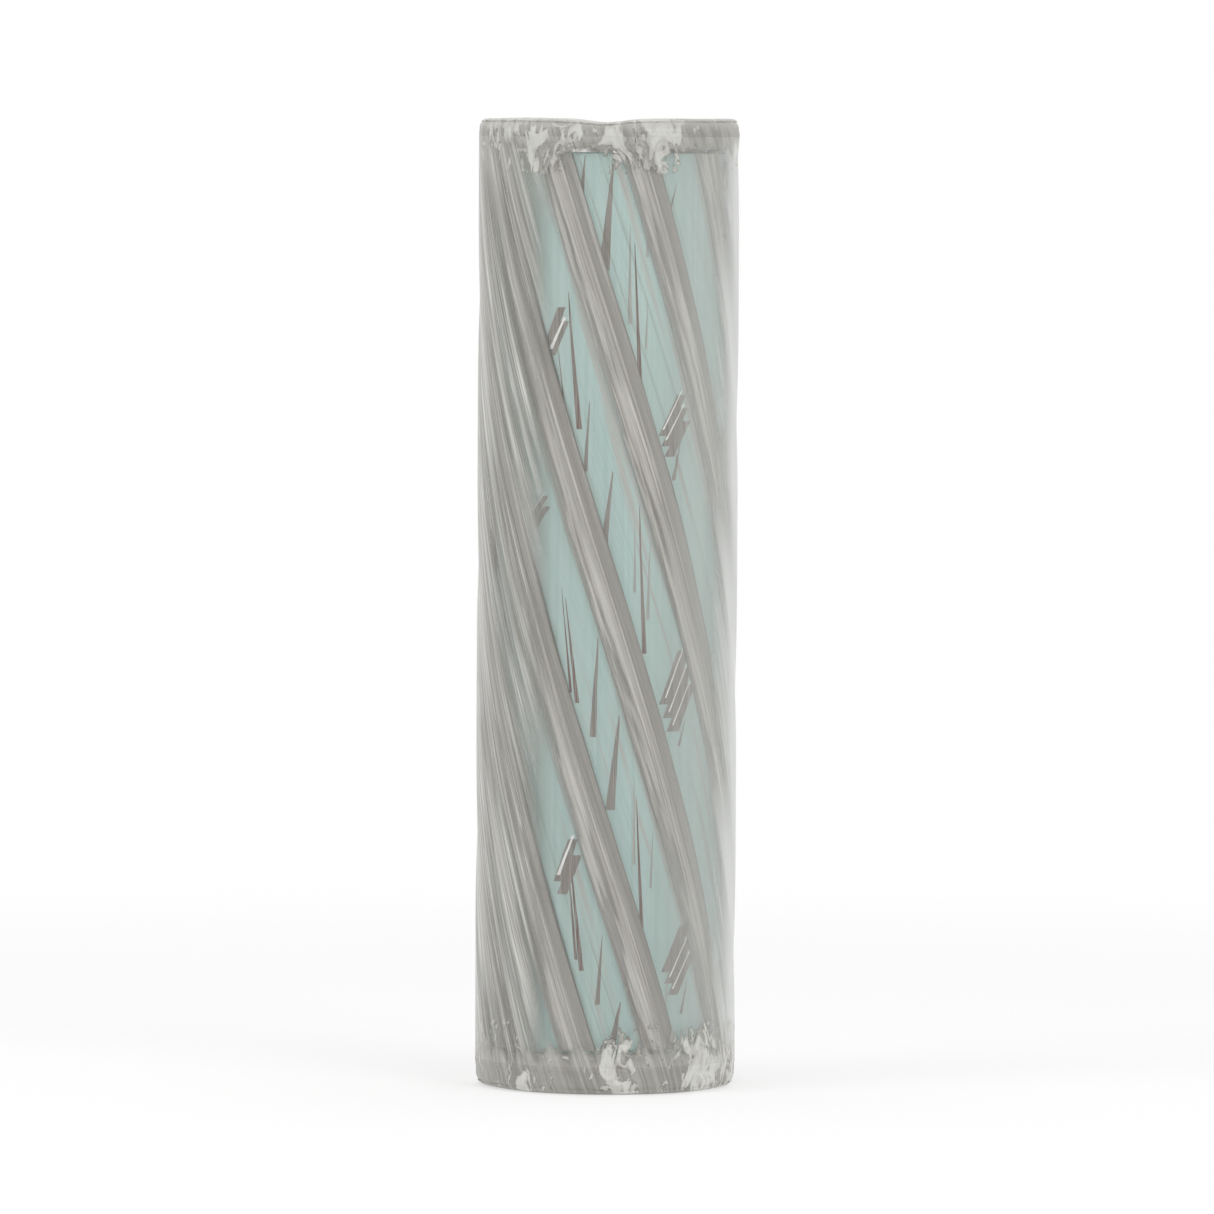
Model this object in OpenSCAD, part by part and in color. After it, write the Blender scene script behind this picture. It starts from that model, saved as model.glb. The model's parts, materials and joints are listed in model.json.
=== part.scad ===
// Barber pole light: a clear glass cylinder with a striped drum that turns round a lit core.
// Millimetres, +Z up, origin at the centre of the underside, front towards -Y.

/* [Overall] */
// Height over everything
total_h = 558; // [480:2:760]
// Outside diameter of the glass, base and cap
glass_od = 150; // [140:2:200]
// Wall of the glass cylinder
glass_wall = 3; // [2:0.5:5]
// Radius of the rounded outer edge at both ends
edge_r = 5; // [2:0.5:6]

/* [Spiral bands] */
// Number of bands round the drum
band_count = 9; // [9:1:9]
// Angle that one band covers round the drum
band_angle = 17.5; // [10:0.5:24]
// Thickness of a band over its ridges
band_t = 3.05; // [2:0.05:4]
// Height that a band rises in one full turn
band_lead = 1380; // [700:10:2400]
// Direction of the first band's leading edge at the underside
band_start = -87.5; // [-180:0.5:180]
// Ridges on each band
ridge_count = 5; // [3:1:6]
// Depth of the cuts between the ridges
ridge_depth = 1.2; // [0.5:0.1:1.6]

/* [Drum] */
// Wall of the drum tube
drum_wall = 2; // [1.5:0.5:4]
// Gap between the glass and the bands
drum_gap = 0.8; // [0.6:0.1:2]
// Gap above the base and below the cap
drum_end_gap = 2.5; // [1.5:0.5:6]
// Thickness of the drum's top disc
disc_t = 5; // [4:0.5:8]
// Distance from the drum's upper end down to the disc
disc_drop = 16; // [14:1:30]
// Height of the drum's bottom ring
ring_h = 8; // [5:1:14]
// Width of the drum's bottom ring
ring_w = 4; // [3:0.5:8]
// Play between the bottom ring and its guide
guide_gap = 0.5; // [0.3:0.1:1]

/* [Ends] */
// Height of the base's outer rim
base_rim_h = 14; // [13:1:24]
// Height of the part of the base that stands up inside the glass
base_spigot_h = 8; // [5:1:16]
// Thickness of the cap's rim
cap_rim_h = 10; // [7:1:20]
// Depth of the cap inside the glass
cap_spigot_h = 8; // [6:1:16]
// Height that the foot ring lifts the base
foot_h = 1; // [0.5:0.5:3]
// Thickness of the base plate
plate_t = 3; // [2:0.5:5]
// Radius of the tapped holes for fastening from below
mount_hole_r = 2; // [1.5:0.5:3]

/* [Core] */
// Outside diameter of the diffuser
diffuser_od = 54; // [50:1:70]
// Wall of the diffuser
diffuser_wall = 2.5; // [2:0.5:3]
// Width of the square core post
post_w = 30; // [28:0.5:30]
// Wall of the core post
post_wall = 3; // [2:0.5:3]
// Width of a lamp board
led_board_w = 20; // [14:1:20]
// Distance between lamp chips
led_step = 16; // [10:1:30]

/* [Drive] */
// Diameter of the gear housing
gear_d = 36; // [30:1:36]
// Length of the gear housing
gear_l = 25; // [20:1:34]
// Diameter of the motor can
motor_d = 32; // [26:1:34]
// Length of the motor can
motor_l = 28; // [20:1:40]
// Diameter of the output shaft
shaft_d = 6; // [5:0.5:6]

/* [Inlet and switch] */
// Distance of the inlet and the switch from the middle
rear_offset = 12; // [10:0.5:14]
// Depth of the flat at the back of the base
rear_flat = 4; // [3:0.5:5]
// Travel of the switch button
button_travel = 1.5; // [0.5:0.25:1.5]

/* [Hidden] */
$fn = 96;

// clearances
slip = 0.15;      // pieces that slide together once
glue = 0.1;       // bonded joints
run = 0.05;       // turning fit on the shaft
seal_gap = 0.05;  // seal against its walls
cut = 1;          // how far a cutting shape passes a face

// ends and glass
body_r = glass_od / 2;
glass_ir = body_r - glass_wall;
base_z = foot_h;
base_rim_z = base_z + base_rim_h;
base_top_z = base_rim_z + base_spigot_h;
gasket_t = 1;
glass_z = base_rim_z + gasket_t;
cap_rim_z = total_h - cap_rim_h;
glass_top_z = cap_rim_z - gasket_t;
cap_low_z = cap_rim_z - cap_spigot_h;
spigot_r = glass_ir - slip;
seal_r = 1.1;
seal_z = cap_rim_z - cap_spigot_h / 2;

// drum
band_or = glass_ir - drum_gap;
band_ir = band_or - band_t;
drum_or = band_ir - slip;
drum_ir = drum_or - drum_wall;
drum_z = base_top_z + drum_end_gap;
drum_top_z = cap_low_z - drum_end_gap;
drum_l = drum_top_z - drum_z;
band_slices = 36;
band_inner_steps = 4;
ridge_peak = 0.65;      // where a ridge peaks between its two cuts
disc_z = drum_top_z - disc_drop - disc_t;
ring_or = drum_ir - glue;
ring_ir = ring_or - ring_w;
guide_or = ring_ir - guide_gap;
guide_w = 3.5;

// screws: radii of shank and head, and height of head
m3 = [1.45, 2.75, 2.4];
m4 = [1.95, 3.5, 4];
screw_play = 0.05;
pass_play = 0.25;

// base plate and its fixings
plate_r = body_r - 22;
plate_z = base_z;
plate_top_z = plate_z + plate_t;
plate_screw_r = plate_r - 5;
plate_screw_at = [30, 150, 270];
mount_r = plate_r - 13;
mount_at = [90, 210, 330];
mount_pocket_l = 10;
foot_or = body_r - 9;
foot_ir = body_r - 17;
foot_groove = 2;

// core
wire_hole_r = 6.5;
core_screw_r = 22;
core_screw_at = [90, 210, 330];
flange_r = 35;
flange_z = base_top_z;
flange_t = 4;
diffuser_z = flange_z + flange_t;
diffuser_or = diffuser_od / 2;
diffuser_ir = diffuser_or - diffuser_wall;
plug_r = diffuser_ir - 0.2;
post_z = diffuser_z + 2;
post_bore = post_w - 2 * post_wall;
spud_r = post_bore / 2 - glue;
spud_h = 12;
spud_top_z = post_z + spud_h;
post_screw_z = post_z + 6;
port_r = 3.2;           // screw ports in the post's inner corners
port_at = post_bore / 2 - 1;
guide_slot = 1;         // depth of the slots that hold the driver board

// drive, stacked downwards from the drum's disc
hub_flange_r = 18;
hub_flange_t = 4;
hub_r = 8;
hub_screw_r = 13;
hub_low = 1.4;          // how far the hub passes its flange downwards
hub_high = 11;          // how far the hub passes the disc upwards
hub_z = disc_z - hub_flange_t - hub_low;
washer_t = 1.5;
washer_gap = 0.1;
plate_rim_t = 3;
plate_plug_t = 6;
motor_plate_top_z = hub_z - washer_gap - washer_t;
motor_plate_rim_z = motor_plate_top_z - plate_rim_t;
motor_plate_z = motor_plate_rim_z - plate_plug_t;
pilot_r = 6;
pilot_h = 3;
gear_z = motor_plate_z - gear_l;
motor_z = gear_z - motor_l;
motor_tail_h = 2;
shaft_r = shaft_d / 2;
shaft_flat = 0.5;
shaft_z = gear_z + 7;
motor_screw_r = 13;
motor_screw_at = [60, 180, 300];
post_cap_t = 4;
post_cap_top_z = motor_z - 3;
post_top_z = post_cap_top_z - post_cap_t;
post_cap_r = plug_r - 0.3;
standoff_r = 2.4;
standoff_at_r = post_cap_r - standoff_r - 0.3;
standoff_at = [0, 120, 240];

// lamp boards
led_board_t = 1.6;
led_board_z = spud_top_z + 7;
led_board_top_z = post_top_z - 4;
led_board_l = led_board_top_z - led_board_z;
led_chip_w = 5;
led_chip_t = 1.4;
led_margin = 10;
led_per_board = floor((led_board_l - 2 * led_margin) / led_step) + 1;

// driver and leads
driver_w = post_bore + 2 * guide_slot - 0.4;
driver_t = 1.6;
driver_z = spud_top_z + 0.2;
driver_h = 80;
block_w = 18;
block_d = 7;
block_h = 10;
block_z = driver_z + 9;
lead_r = 1.4;
led_lead_r = 0.8;
led_lead_z = spud_top_z + 4;
top_block_z = driver_z + driver_h - block_h - 4;

// inlet and switch in the flat at the back
rear_y = body_r - rear_flat;
rear_body_l = 21;
rear_flange_t = 1.5;
inlet_r = 4;
inlet_flange_r = 5.5;
inlet_bore_r = 3;
inlet_bore_l = 10;
inlet_pin_r = 1.05;
switch_r = 4.4;
switch_flange_r = 6;
rear_z = base_rim_z - switch_flange_r - 0.4;
button_r = 3.1;
button_play = 0.08;
button_out = 2.3;
button_in = 9;
trench_w = 8;
trench_h = 8.5;
trench_end_y = rear_y - rear_body_l;
trench_low_y = -5;
trench_cross_y = 8;
lead_y = 3;

module ring(outer, inner, low, high) {
    translate([0, 0, low])
        difference() {
            cylinder(r = outer, h = high - low);
            translate([0, 0, -cut]) cylinder(r = inner, h = high - low + 2 * cut);
        }
}

module disc(radius, low, high) {
    translate([0, 0, low]) cylinder(r = radius, h = high - low);
}

module around(angles, radius) {
    for (a = angles) rotate([0, 0, a]) translate([radius, 0, 0]) children();
}

// a screw with a flat round head above low-to-high shank
module pan_screw(size, low, high) {
    disc(size[0], low, high + 0.01);
    disc(size[1], high, high + size[2]);
}

// a countersunk screw whose head is flush with head_z, pointing up or down
module flush_screw(size, tip_z, head_z) {
    head_h = size[1] - size[0];
    dir = head_z > tip_z ? 1 : -1;
    translate([0, 0, dir > 0 ? tip_z : head_z]) cylinder(r = size[0], h = abs(head_z - tip_z));
    translate([0, 0, dir > 0 ? head_z - head_h : head_z])
        cylinder(r1 = dir > 0 ? size[0] : size[1], r2 = dir > 0 ? size[1] : size[0], h = head_h);
}

// the hole that a countersunk screw of the same size fits
module flush_hole(size, tip_z, head_z) {
    wide = [size[0] + screw_play, size[1] + screw_play];
    flush_screw(wide, tip_z, head_z);
}

// a round lead with ball corners through the points
module lead(points, radius) {
    for (i = [0:len(points) - 2]) {
        step = points[i + 1] - points[i];
        length = norm(step);
        translate(points[i])
            rotate([0, acos(step[2] / length), atan2(step[1], step[0])])
                cylinder(r = radius, h = length, $fn = 24);
        if (i > 0) translate(points[i]) sphere(r = radius, $fn = 24);
    }
}

// ---- ends and glass ----

module glass_cylinder() {
    color([0.86, 0.93, 0.94, 0.35]) ring(body_r, glass_ir, glass_z, glass_top_z);
}

module base_profile() {
    difference() {
        union() {
            square([body_r - edge_r, base_rim_h]);
            translate([0, edge_r]) square([body_r, base_rim_h - edge_r]);
            translate([body_r - edge_r, edge_r]) circle(r = edge_r);
            square([spigot_r, base_rim_h + base_spigot_h]);
        }
        translate([-body_r, -cut]) square([body_r, total_h]);
    }
}

module rear_cylinder(x, radius, from_y, to_y) {
    translate([x, to_y, rear_z]) rotate([90, 0, 0]) cylinder(r = radius, h = to_y - from_y);
}

module trenches() {
    low_z = plate_top_z - cut;
    height = trench_h + cut;
    for (side = [-1, 1])
        translate([side * rear_offset - trench_w / 2, trench_low_y, low_z])
            cube([trench_w, trench_end_y - trench_low_y, height]);
    translate([-rear_offset, trench_low_y, low_z])
        cube([2 * rear_offset, trench_cross_y - trench_low_y, height]);
}

module base_block() {
    head_top_z = plate_top_z + m4[2] + 0.8;
    color([0.84, 0.88, 0.86, 0.4])
        difference() {
            translate([0, 0, base_z]) rotate_extrude() base_profile();
            disc(plate_r + 0.3, base_z - cut, plate_top_z + 0.1);
            ring(foot_or + 0.2, foot_ir - 0.2, base_z - cut, base_z + foot_groove + 0.1);
            disc(wire_hole_r, base_z, base_top_z + cut);
            around(core_screw_at, core_screw_r) {
                disc(m4[1] + 0.7, base_z, head_top_z);
                disc(m4[0] + pass_play, base_z, base_top_z + cut);
            }
            around(plate_screw_at, plate_screw_r) disc(m3[0] + screw_play, base_z, plate_top_z + 9);
            around(mount_at, mount_r) disc(mount_hole_r + 0.5, base_z, plate_top_z + mount_pocket_l);
            trenches();
            translate([-body_r, rear_y, 0]) cube([2 * body_r, rear_flat + cut, base_rim_z]);
            rear_cylinder(rear_offset, inlet_r + screw_play, trench_end_y - cut, body_r);
            rear_cylinder(-rear_offset, switch_r + screw_play, trench_end_y - cut, body_r);
        }
}

module cap_profile() {
    groove_r = glass_ir - 2 * seal_r - 2 * seal_gap;
    difference() {
        union() {
            translate([0, cap_spigot_h]) square([body_r, cap_rim_h - edge_r]);
            square([body_r - edge_r, cap_spigot_h + cap_rim_h]);
            translate([body_r - edge_r, cap_spigot_h + cap_rim_h - edge_r]) circle(r = edge_r);
            square([spigot_r, cap_spigot_h]);
        }
        translate([-body_r, -cut]) square([body_r, total_h]);
        translate([groove_r, cap_spigot_h / 2 - seal_r - 0.2]) square([body_r, 2 * seal_r + 0.4]);
    }
}

module top_cap() {
    color([0.84, 0.88, 0.86, 0.4]) translate([0, 0, cap_low_z]) rotate_extrude() cap_profile();
}

module base_gasket() {
    color([0.85, 0.85, 0.82, 0.6]) ring(body_r - 0.2, spigot_r + glue, base_rim_z, glass_z);
}

module top_gasket() {
    color([0.85, 0.85, 0.82, 0.6]) ring(body_r - 0.2, spigot_r + glue, glass_top_z, cap_rim_z);
}

module top_seal() {
    color([0.8, 0.8, 0.78])
        translate([0, 0, seal_z])
            rotate_extrude() translate([glass_ir - seal_r - seal_gap, 0]) circle(r = seal_r);
}

module foot_ring() {
    color([0.75, 0.75, 0.73]) ring(foot_or, foot_ir, 0, base_z + foot_groove);
}

module base_plate() {
    color([0.72, 0.73, 0.74])
        difference() {
            disc(plate_r, plate_z, plate_top_z);
            around(plate_screw_at, plate_screw_r) flush_hole(m3, plate_top_z + cut, plate_z);
            around(mount_at, mount_r) disc(mount_hole_r, plate_z - cut, plate_top_z + cut);
        }
}

module base_plate_screws() {
    color("silver") around(plate_screw_at, plate_screw_r) flush_screw(m3, plate_top_z + 8, plate_z);
}

module guide_ring() {
    color([0.93, 0.93, 0.9]) ring(guide_or, guide_or - guide_w, base_top_z, drum_z + ring_h - 2);
}

// ---- light core ----

module core_flange() {
    color([0.78, 0.79, 0.8])
        difference() {
            union() {
                disc(flange_r, flange_z, diffuser_z);
                disc(plug_r, diffuser_z - 0.01, post_z);
                disc(spud_r, post_z - 0.01, spud_top_z);
            }
            disc(wire_hole_r, flange_z - cut, spud_top_z + cut);
            around(core_screw_at, core_screw_r) disc(m4[0] + screw_play, flange_z - cut, post_z - 0.4);
            translate([-spud_r - cut, 0, post_screw_z]) rotate([0, 90, 0])
                cylinder(r = m3[0] + screw_play, h = 2 * (spud_r + cut));
        }
}

module core_screws() {
    color("silver")
        around(core_screw_at, core_screw_r) {
            disc(m4[1], plate_top_z + 0.8, plate_top_z + 0.8 + m4[2]);
            disc(m4[0], plate_top_z + 0.8, post_z - 1);
        }
}

module core_post() {
    color([0.8, 0.81, 0.82])
        difference() {
            translate([-post_w / 2, -post_w / 2, post_z]) cube([post_w, post_w, post_top_z - post_z]);
            difference() {
                translate([-post_bore / 2, -post_bore / 2, post_z - cut])
                    cube([post_bore, post_bore, post_top_z - post_z + 2 * cut]);
                for (x = [-1, 1], y = [-1, 1])
                    translate([x * port_at, y * port_at, post_z - cut])
                        cylinder(r = port_r, h = post_top_z - post_z + 2 * cut);
            }
            translate([-post_bore / 2 - guide_slot, -driver_t / 2 - 0.15, post_z - cut])
                cube([post_bore + 2 * guide_slot, driver_t + 0.3, post_top_z - post_z + 2 * cut]);
            for (x = [-1, 1], y = [-1, 1])
                translate([x * port_at, y * port_at, post_top_z - 12])
                    cylinder(r = m3[0] + screw_play, h = 12 + cut);
            translate([-post_w / 2 - cut, 0, post_screw_z]) rotate([0, 90, 0])
                cylinder(r = m3[0] + pass_play, h = post_w + 2 * cut);
            for (route = led_routes)
                lead([route[1], route[1] + (route[2] - route[1]) * 2], led_lead_r + pass_play);
        }
}

module post_screws() {
    color("silver")
        for (side = [0, 180]) rotate([0, 0, side]) translate([0, 0, post_screw_z]) rotate([0, 90, 0]) {
            disc(m3[0], wire_hole_r + 0.5, post_w / 2 + 0.01);
            disc(m3[1], post_w / 2, post_w / 2 + m3[2]);
        }
}

module led_board(i) {
    color([0.95, 0.96, 0.94])
        rotate([0, 0, 90 * i])
            translate([post_w / 2, -led_board_w / 2, led_board_z])
                cube([led_board_t, led_board_w, led_board_l]);
}

module led_chips(i) {
    color([0.98, 0.96, 0.78])
        rotate([0, 0, 90 * i])
            for (k = [0:led_per_board - 1], side = [-1, 1])
                translate([
                    post_w / 2 + led_board_t,
                    side * led_board_w / 4 - led_chip_w / 2,
                    led_board_z + led_margin + k * led_step - led_chip_w / 2
                ])
                    cube([led_chip_t, led_chip_w, led_chip_w]);
}

module driver_board() {
    color([0.1, 0.42, 0.25])
        translate([-driver_w / 2, -driver_t / 2, driver_z]) cube([driver_w, driver_t, driver_h]);
}

module driver_parts() {
    color([0.2, 0.2, 0.22]) {
        translate([-block_w / 2, driver_t / 2, block_z]) cube([block_w, block_d, block_h]);
        translate([-block_w / 2, -driver_t / 2 - block_d, block_z + 2]) cube([block_w, block_d, block_h]);
        translate([-block_w / 2, driver_t / 2, top_block_z]) cube([block_w, block_d, block_h]);
        translate([-6, driver_t / 2, block_z + 18]) cube([12, 5, 12]);
        translate([0, -driver_t / 2, block_z + 24]) rotate([90, 0, 0]) cylinder(r = 5, h = 8);
        translate([0, -driver_t / 2, block_z + 38]) rotate([90, 0, 0]) cylinder(r = 4, h = 9);
    }
}

module power_lead() {
    color([0.12, 0.12, 0.12])
        lead([
            [rear_offset, trench_end_y, rear_z],
            [rear_offset, lead_y, rear_z],
            [lead_y, lead_y, rear_z],
            [lead_y, lead_y, block_z]
        ], lead_r);
}

module switch_lead() {
    color([0.55, 0.1, 0.1])
        lead([
            [-rear_offset, trench_end_y, rear_z],
            [-rear_offset, lead_y, rear_z],
            [-lead_y, lead_y, rear_z],
            [-lead_y, lead_y, block_z]
        ], lead_r);
}

// each route: start on its terminal block, turn, way out through the post, end on its board
function led_route(inner, outward, start_z) = let (
    turn = [inner[0], inner[1], led_lead_z],
    way_out = post_w / 2 + led_board_t / 2,
    out = [
        outward[0] == 0 ? inner[0] : outward[0] * way_out,
        outward[1] == 0 ? inner[1] : outward[1] * way_out,
        led_lead_z
    ]
) [[inner[0], inner[1], start_z], turn, out, [out[0], out[1], led_board_z]];
led_routes = [
    led_route([7, -4], [1, 0], block_z + 2),
    led_route([7, 6], [0, 1], block_z),
    led_route([-7, -4], [-1, 0], block_z + 2),
    led_route([3, -6], [0, -1], block_z + 2)
];

module led_leads() {
    color([0.85, 0.85, 0.8]) for (route = led_routes) lead(route, led_lead_r);
}

module motor_lead() {
    color([0.15, 0.15, 0.5])
        lead([[0, 4, top_block_z + block_h], [0, 4, motor_z - motor_tail_h]], lead_r);
}

module diffuser_tube() {
    color([0.78, 0.9, 0.88, 0.8]) ring(diffuser_or, diffuser_ir, diffuser_z, motor_plate_rim_z);
}

// ---- drive ----

module post_cap() {
    color([0.7, 0.71, 0.72])
        difference() {
            disc(post_cap_r, post_top_z, post_cap_top_z);
            disc(wire_hole_r, post_top_z - cut, post_cap_top_z + cut);
            around(standoff_at, standoff_at_r) flush_hole(m3, post_cap_top_z + cut, post_top_z);
            for (x = [-1, 1], y = [-1, 1])
                translate([x * port_at, y * port_at, 0]) flush_hole(m3, post_top_z - cut, post_cap_top_z);
        }
}

module standoffs() {
    color([0.82, 0.7, 0.42])
        around(standoff_at, standoff_at_r)
            difference() {
                disc(standoff_r, post_cap_top_z, motor_plate_z);
                disc(m3[0] + screw_play, post_cap_top_z - cut, post_cap_top_z + 8);
                disc(m3[0] + screw_play, motor_plate_z - 8, motor_plate_z + cut);
            }
}

module standoff_screws() {
    color("silver") {
        around(standoff_at, standoff_at_r) flush_screw(m3, post_cap_top_z + 7, post_top_z);
        for (x = [-1, 1], y = [-1, 1])
            translate([x * port_at, y * port_at, 0]) flush_screw(m3, post_top_z - 10, post_cap_top_z);
    }
}

module motor_plate() {
    color([0.74, 0.75, 0.76])
        difference() {
            union() {
                disc(plug_r, motor_plate_z, motor_plate_rim_z + 0.01);
                disc(diffuser_or, motor_plate_rim_z, motor_plate_top_z);
            }
            disc(pilot_r + slip, motor_plate_z - cut, motor_plate_z + pilot_h + 0.2);
            disc(shaft_r + 1, motor_plate_z, motor_plate_top_z + cut);
            around(standoff_at, standoff_at_r) flush_hole(m3, motor_plate_z - cut, motor_plate_top_z);
            around(motor_screw_at, motor_screw_r) flush_hole(m3, motor_plate_z - cut, motor_plate_top_z);
        }
}

module plate_screws() {
    color("silver")
        around(standoff_at, standoff_at_r) flush_screw(m3, motor_plate_z - 7, motor_plate_top_z);
}

module gear_housing() {
    color([0.66, 0.67, 0.69])
        difference() {
            union() {
                disc(gear_d / 2, gear_z, motor_plate_z);
                disc(pilot_r, motor_plate_z - 0.01, motor_plate_z + pilot_h);
            }
            disc(shaft_r + run, shaft_z - 1, motor_plate_z + pilot_h + cut);
            around(motor_screw_at, motor_screw_r)
                disc(m3[0] + screw_play, motor_plate_z - 6, motor_plate_z + cut);
        }
}

module motor_can() {
    color([0.5, 0.51, 0.53]) {
        disc(motor_d / 2, motor_z, gear_z);
        disc(pilot_r, motor_z - motor_tail_h, motor_z + 0.01);
    }
}

module motor_screws() {
    color("silver")
        around(motor_screw_at, motor_screw_r) flush_screw(m3, motor_plate_z - 5, motor_plate_top_z);
}

module thrust_washer() {
    color([0.94, 0.94, 0.9]) ring(9, shaft_r + 0.4, motor_plate_top_z, motor_plate_top_z + washer_t);
}

// ---- inlet and switch ----

module inlet_socket() {
    color([0.1, 0.1, 0.1])
        difference() {
            union() {
                rear_cylinder(rear_offset, inlet_r, trench_end_y, rear_y + 0.01);
                rear_cylinder(rear_offset, inlet_flange_r, rear_y, rear_y + rear_flange_t);
            }
            rear_cylinder(rear_offset, inlet_bore_r, rear_y + rear_flange_t - inlet_bore_l, body_r);
        }
}

module inlet_pin() {
    color("gold")
        rear_cylinder(rear_offset, inlet_pin_r, rear_y + rear_flange_t - inlet_bore_l, rear_y);
}

module switch_body() {
    color([0.12, 0.12, 0.12])
        difference() {
            union() {
                rear_cylinder(-rear_offset, switch_r, trench_end_y, rear_y + 0.01);
                rear_cylinder(-rear_offset, switch_flange_r, rear_y, rear_y + rear_flange_t);
            }
            rear_cylinder(-rear_offset, button_r + button_play,
                rear_y - button_in - button_travel - 0.5, body_r);
        }
}

module switch_button() {
    color([0.85, 0.85, 0.84])
        rear_cylinder(-rear_offset, button_r, rear_y - button_in, rear_y + rear_flange_t + button_out);
}

// ---- drum ----

module flatted(radius, low, high) {
    difference() {
        disc(radius, low, high);
        translate([radius - shaft_flat, -2 * radius, low - cut])
            cube([2 * radius, 4 * radius, high - low + 2 * cut]);
    }
}

module motor_shaft() {
    color([0.8, 0.8, 0.82]) {
        disc(shaft_r, shaft_z, hub_z - 2);
        flatted(shaft_r, hub_z - 2, disc_z + disc_t + hub_high - 1);
    }
}

module drum_hub() {
    top_z = disc_z + disc_t + hub_high;
    color([0.75, 0.76, 0.78])
        difference() {
            union() {
                disc(hub_r, hub_z, top_z);
                disc(hub_flange_r, disc_z - hub_flange_t, disc_z);
            }
            flatted(shaft_r + run, hub_z - cut, top_z + cut);
            around([45, 135, 225, 315], hub_screw_r)
                disc(m3[0] + screw_play, disc_z - hub_flange_t - cut, disc_z + cut);
            translate([0, 0, top_z - 5]) rotate([0, 90, 0]) cylinder(r = m3[0] + screw_play, h = hub_r + cut);
        }
}

module hub_grub_screw() {
    color([0.3, 0.3, 0.32])
        translate([0, 0, disc_z + disc_t + hub_high - 5]) rotate([0, 90, 0])
            disc(m3[0], shaft_r - shaft_flat + 0.1, hub_r - 0.5);
}

module hub_screws() {
    color("silver")
        around([45, 135, 225, 315], hub_screw_r)
            pan_screw(m3, disc_z - hub_flange_t + 0.5, disc_z + disc_t);
}

module drum_top_disc() {
    color([0.85, 0.93, 0.92, 0.5])
        difference() {
            disc(ring_or, disc_z, disc_z + disc_t);
            disc(hub_r + slip, disc_z - cut, disc_z + disc_t + cut);
            around([45, 135, 225, 315], hub_screw_r)
                disc(m3[0] + pass_play, disc_z - cut, disc_z + disc_t + cut);
        }
}

module drum_tube() {
    color([0.67, 0.78, 0.76, 0.5]) ring(drum_or, drum_ir, drum_z, drum_top_z);
}

module drum_bottom_ring() {
    color([0.9, 0.92, 0.9, 0.7]) ring(ring_or, ring_ir, drum_z, drum_z + ring_h);
}

function polar(radius, angle) = [radius * cos(angle), radius * sin(angle)];

// the cross-section of one band, clockwise from its leading edge at angle 0
function band_outline() = let (ridge = band_angle / ridge_count) [
    for (i = [0:ridge_count - 1]) each [
        polar(band_or - ridge_depth, -i * ridge),
        polar(band_or, -(i + 1 - ridge_peak) * ridge)
    ],
    polar(band_or - ridge_depth, -band_angle),
    for (i = [0:band_inner_steps]) polar(band_ir, -band_angle + i * band_angle / band_inner_steps)
];

module spiral_band(i) {
    color([0.65, 0.63, 0.6, 0.7])
        rotate([0, 0, band_start + (i - 1) * 360 / band_count - drum_z * 360 / band_lead])
            translate([0, 0, drum_z])
                linear_extrude(height = drum_l, twist = drum_l * 360 / band_lead, slices = band_slices, segments = 1)
                    polygon(band_outline());
}

glass_cylinder();
base_block();
top_cap();
base_gasket();
top_gasket();
top_seal();
foot_ring();
base_plate();
base_plate_screws();
guide_ring();
core_flange();
core_screws();
core_post();
post_screws();
for (i = [1:4]) led_board(i);
for (i = [1:4]) led_chips(i);
driver_board();
driver_parts();
power_lead();
switch_lead();
led_leads();
motor_lead();
diffuser_tube();
post_cap();
standoffs();
standoff_screws();
motor_plate();
plate_screws();
gear_housing();
motor_can();
motor_screws();
thrust_washer();
inlet_socket();
inlet_pin();
switch_body();
switch_button();
motor_shaft();
drum_hub();
hub_grub_screw();
hub_screws();
drum_top_disc();
drum_tube();
drum_bottom_ring();
for (i = [1:band_count]) spiral_band(i);
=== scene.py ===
import json
import math
import random

import bpy
from mathutils import Matrix, Vector, noise

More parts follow.
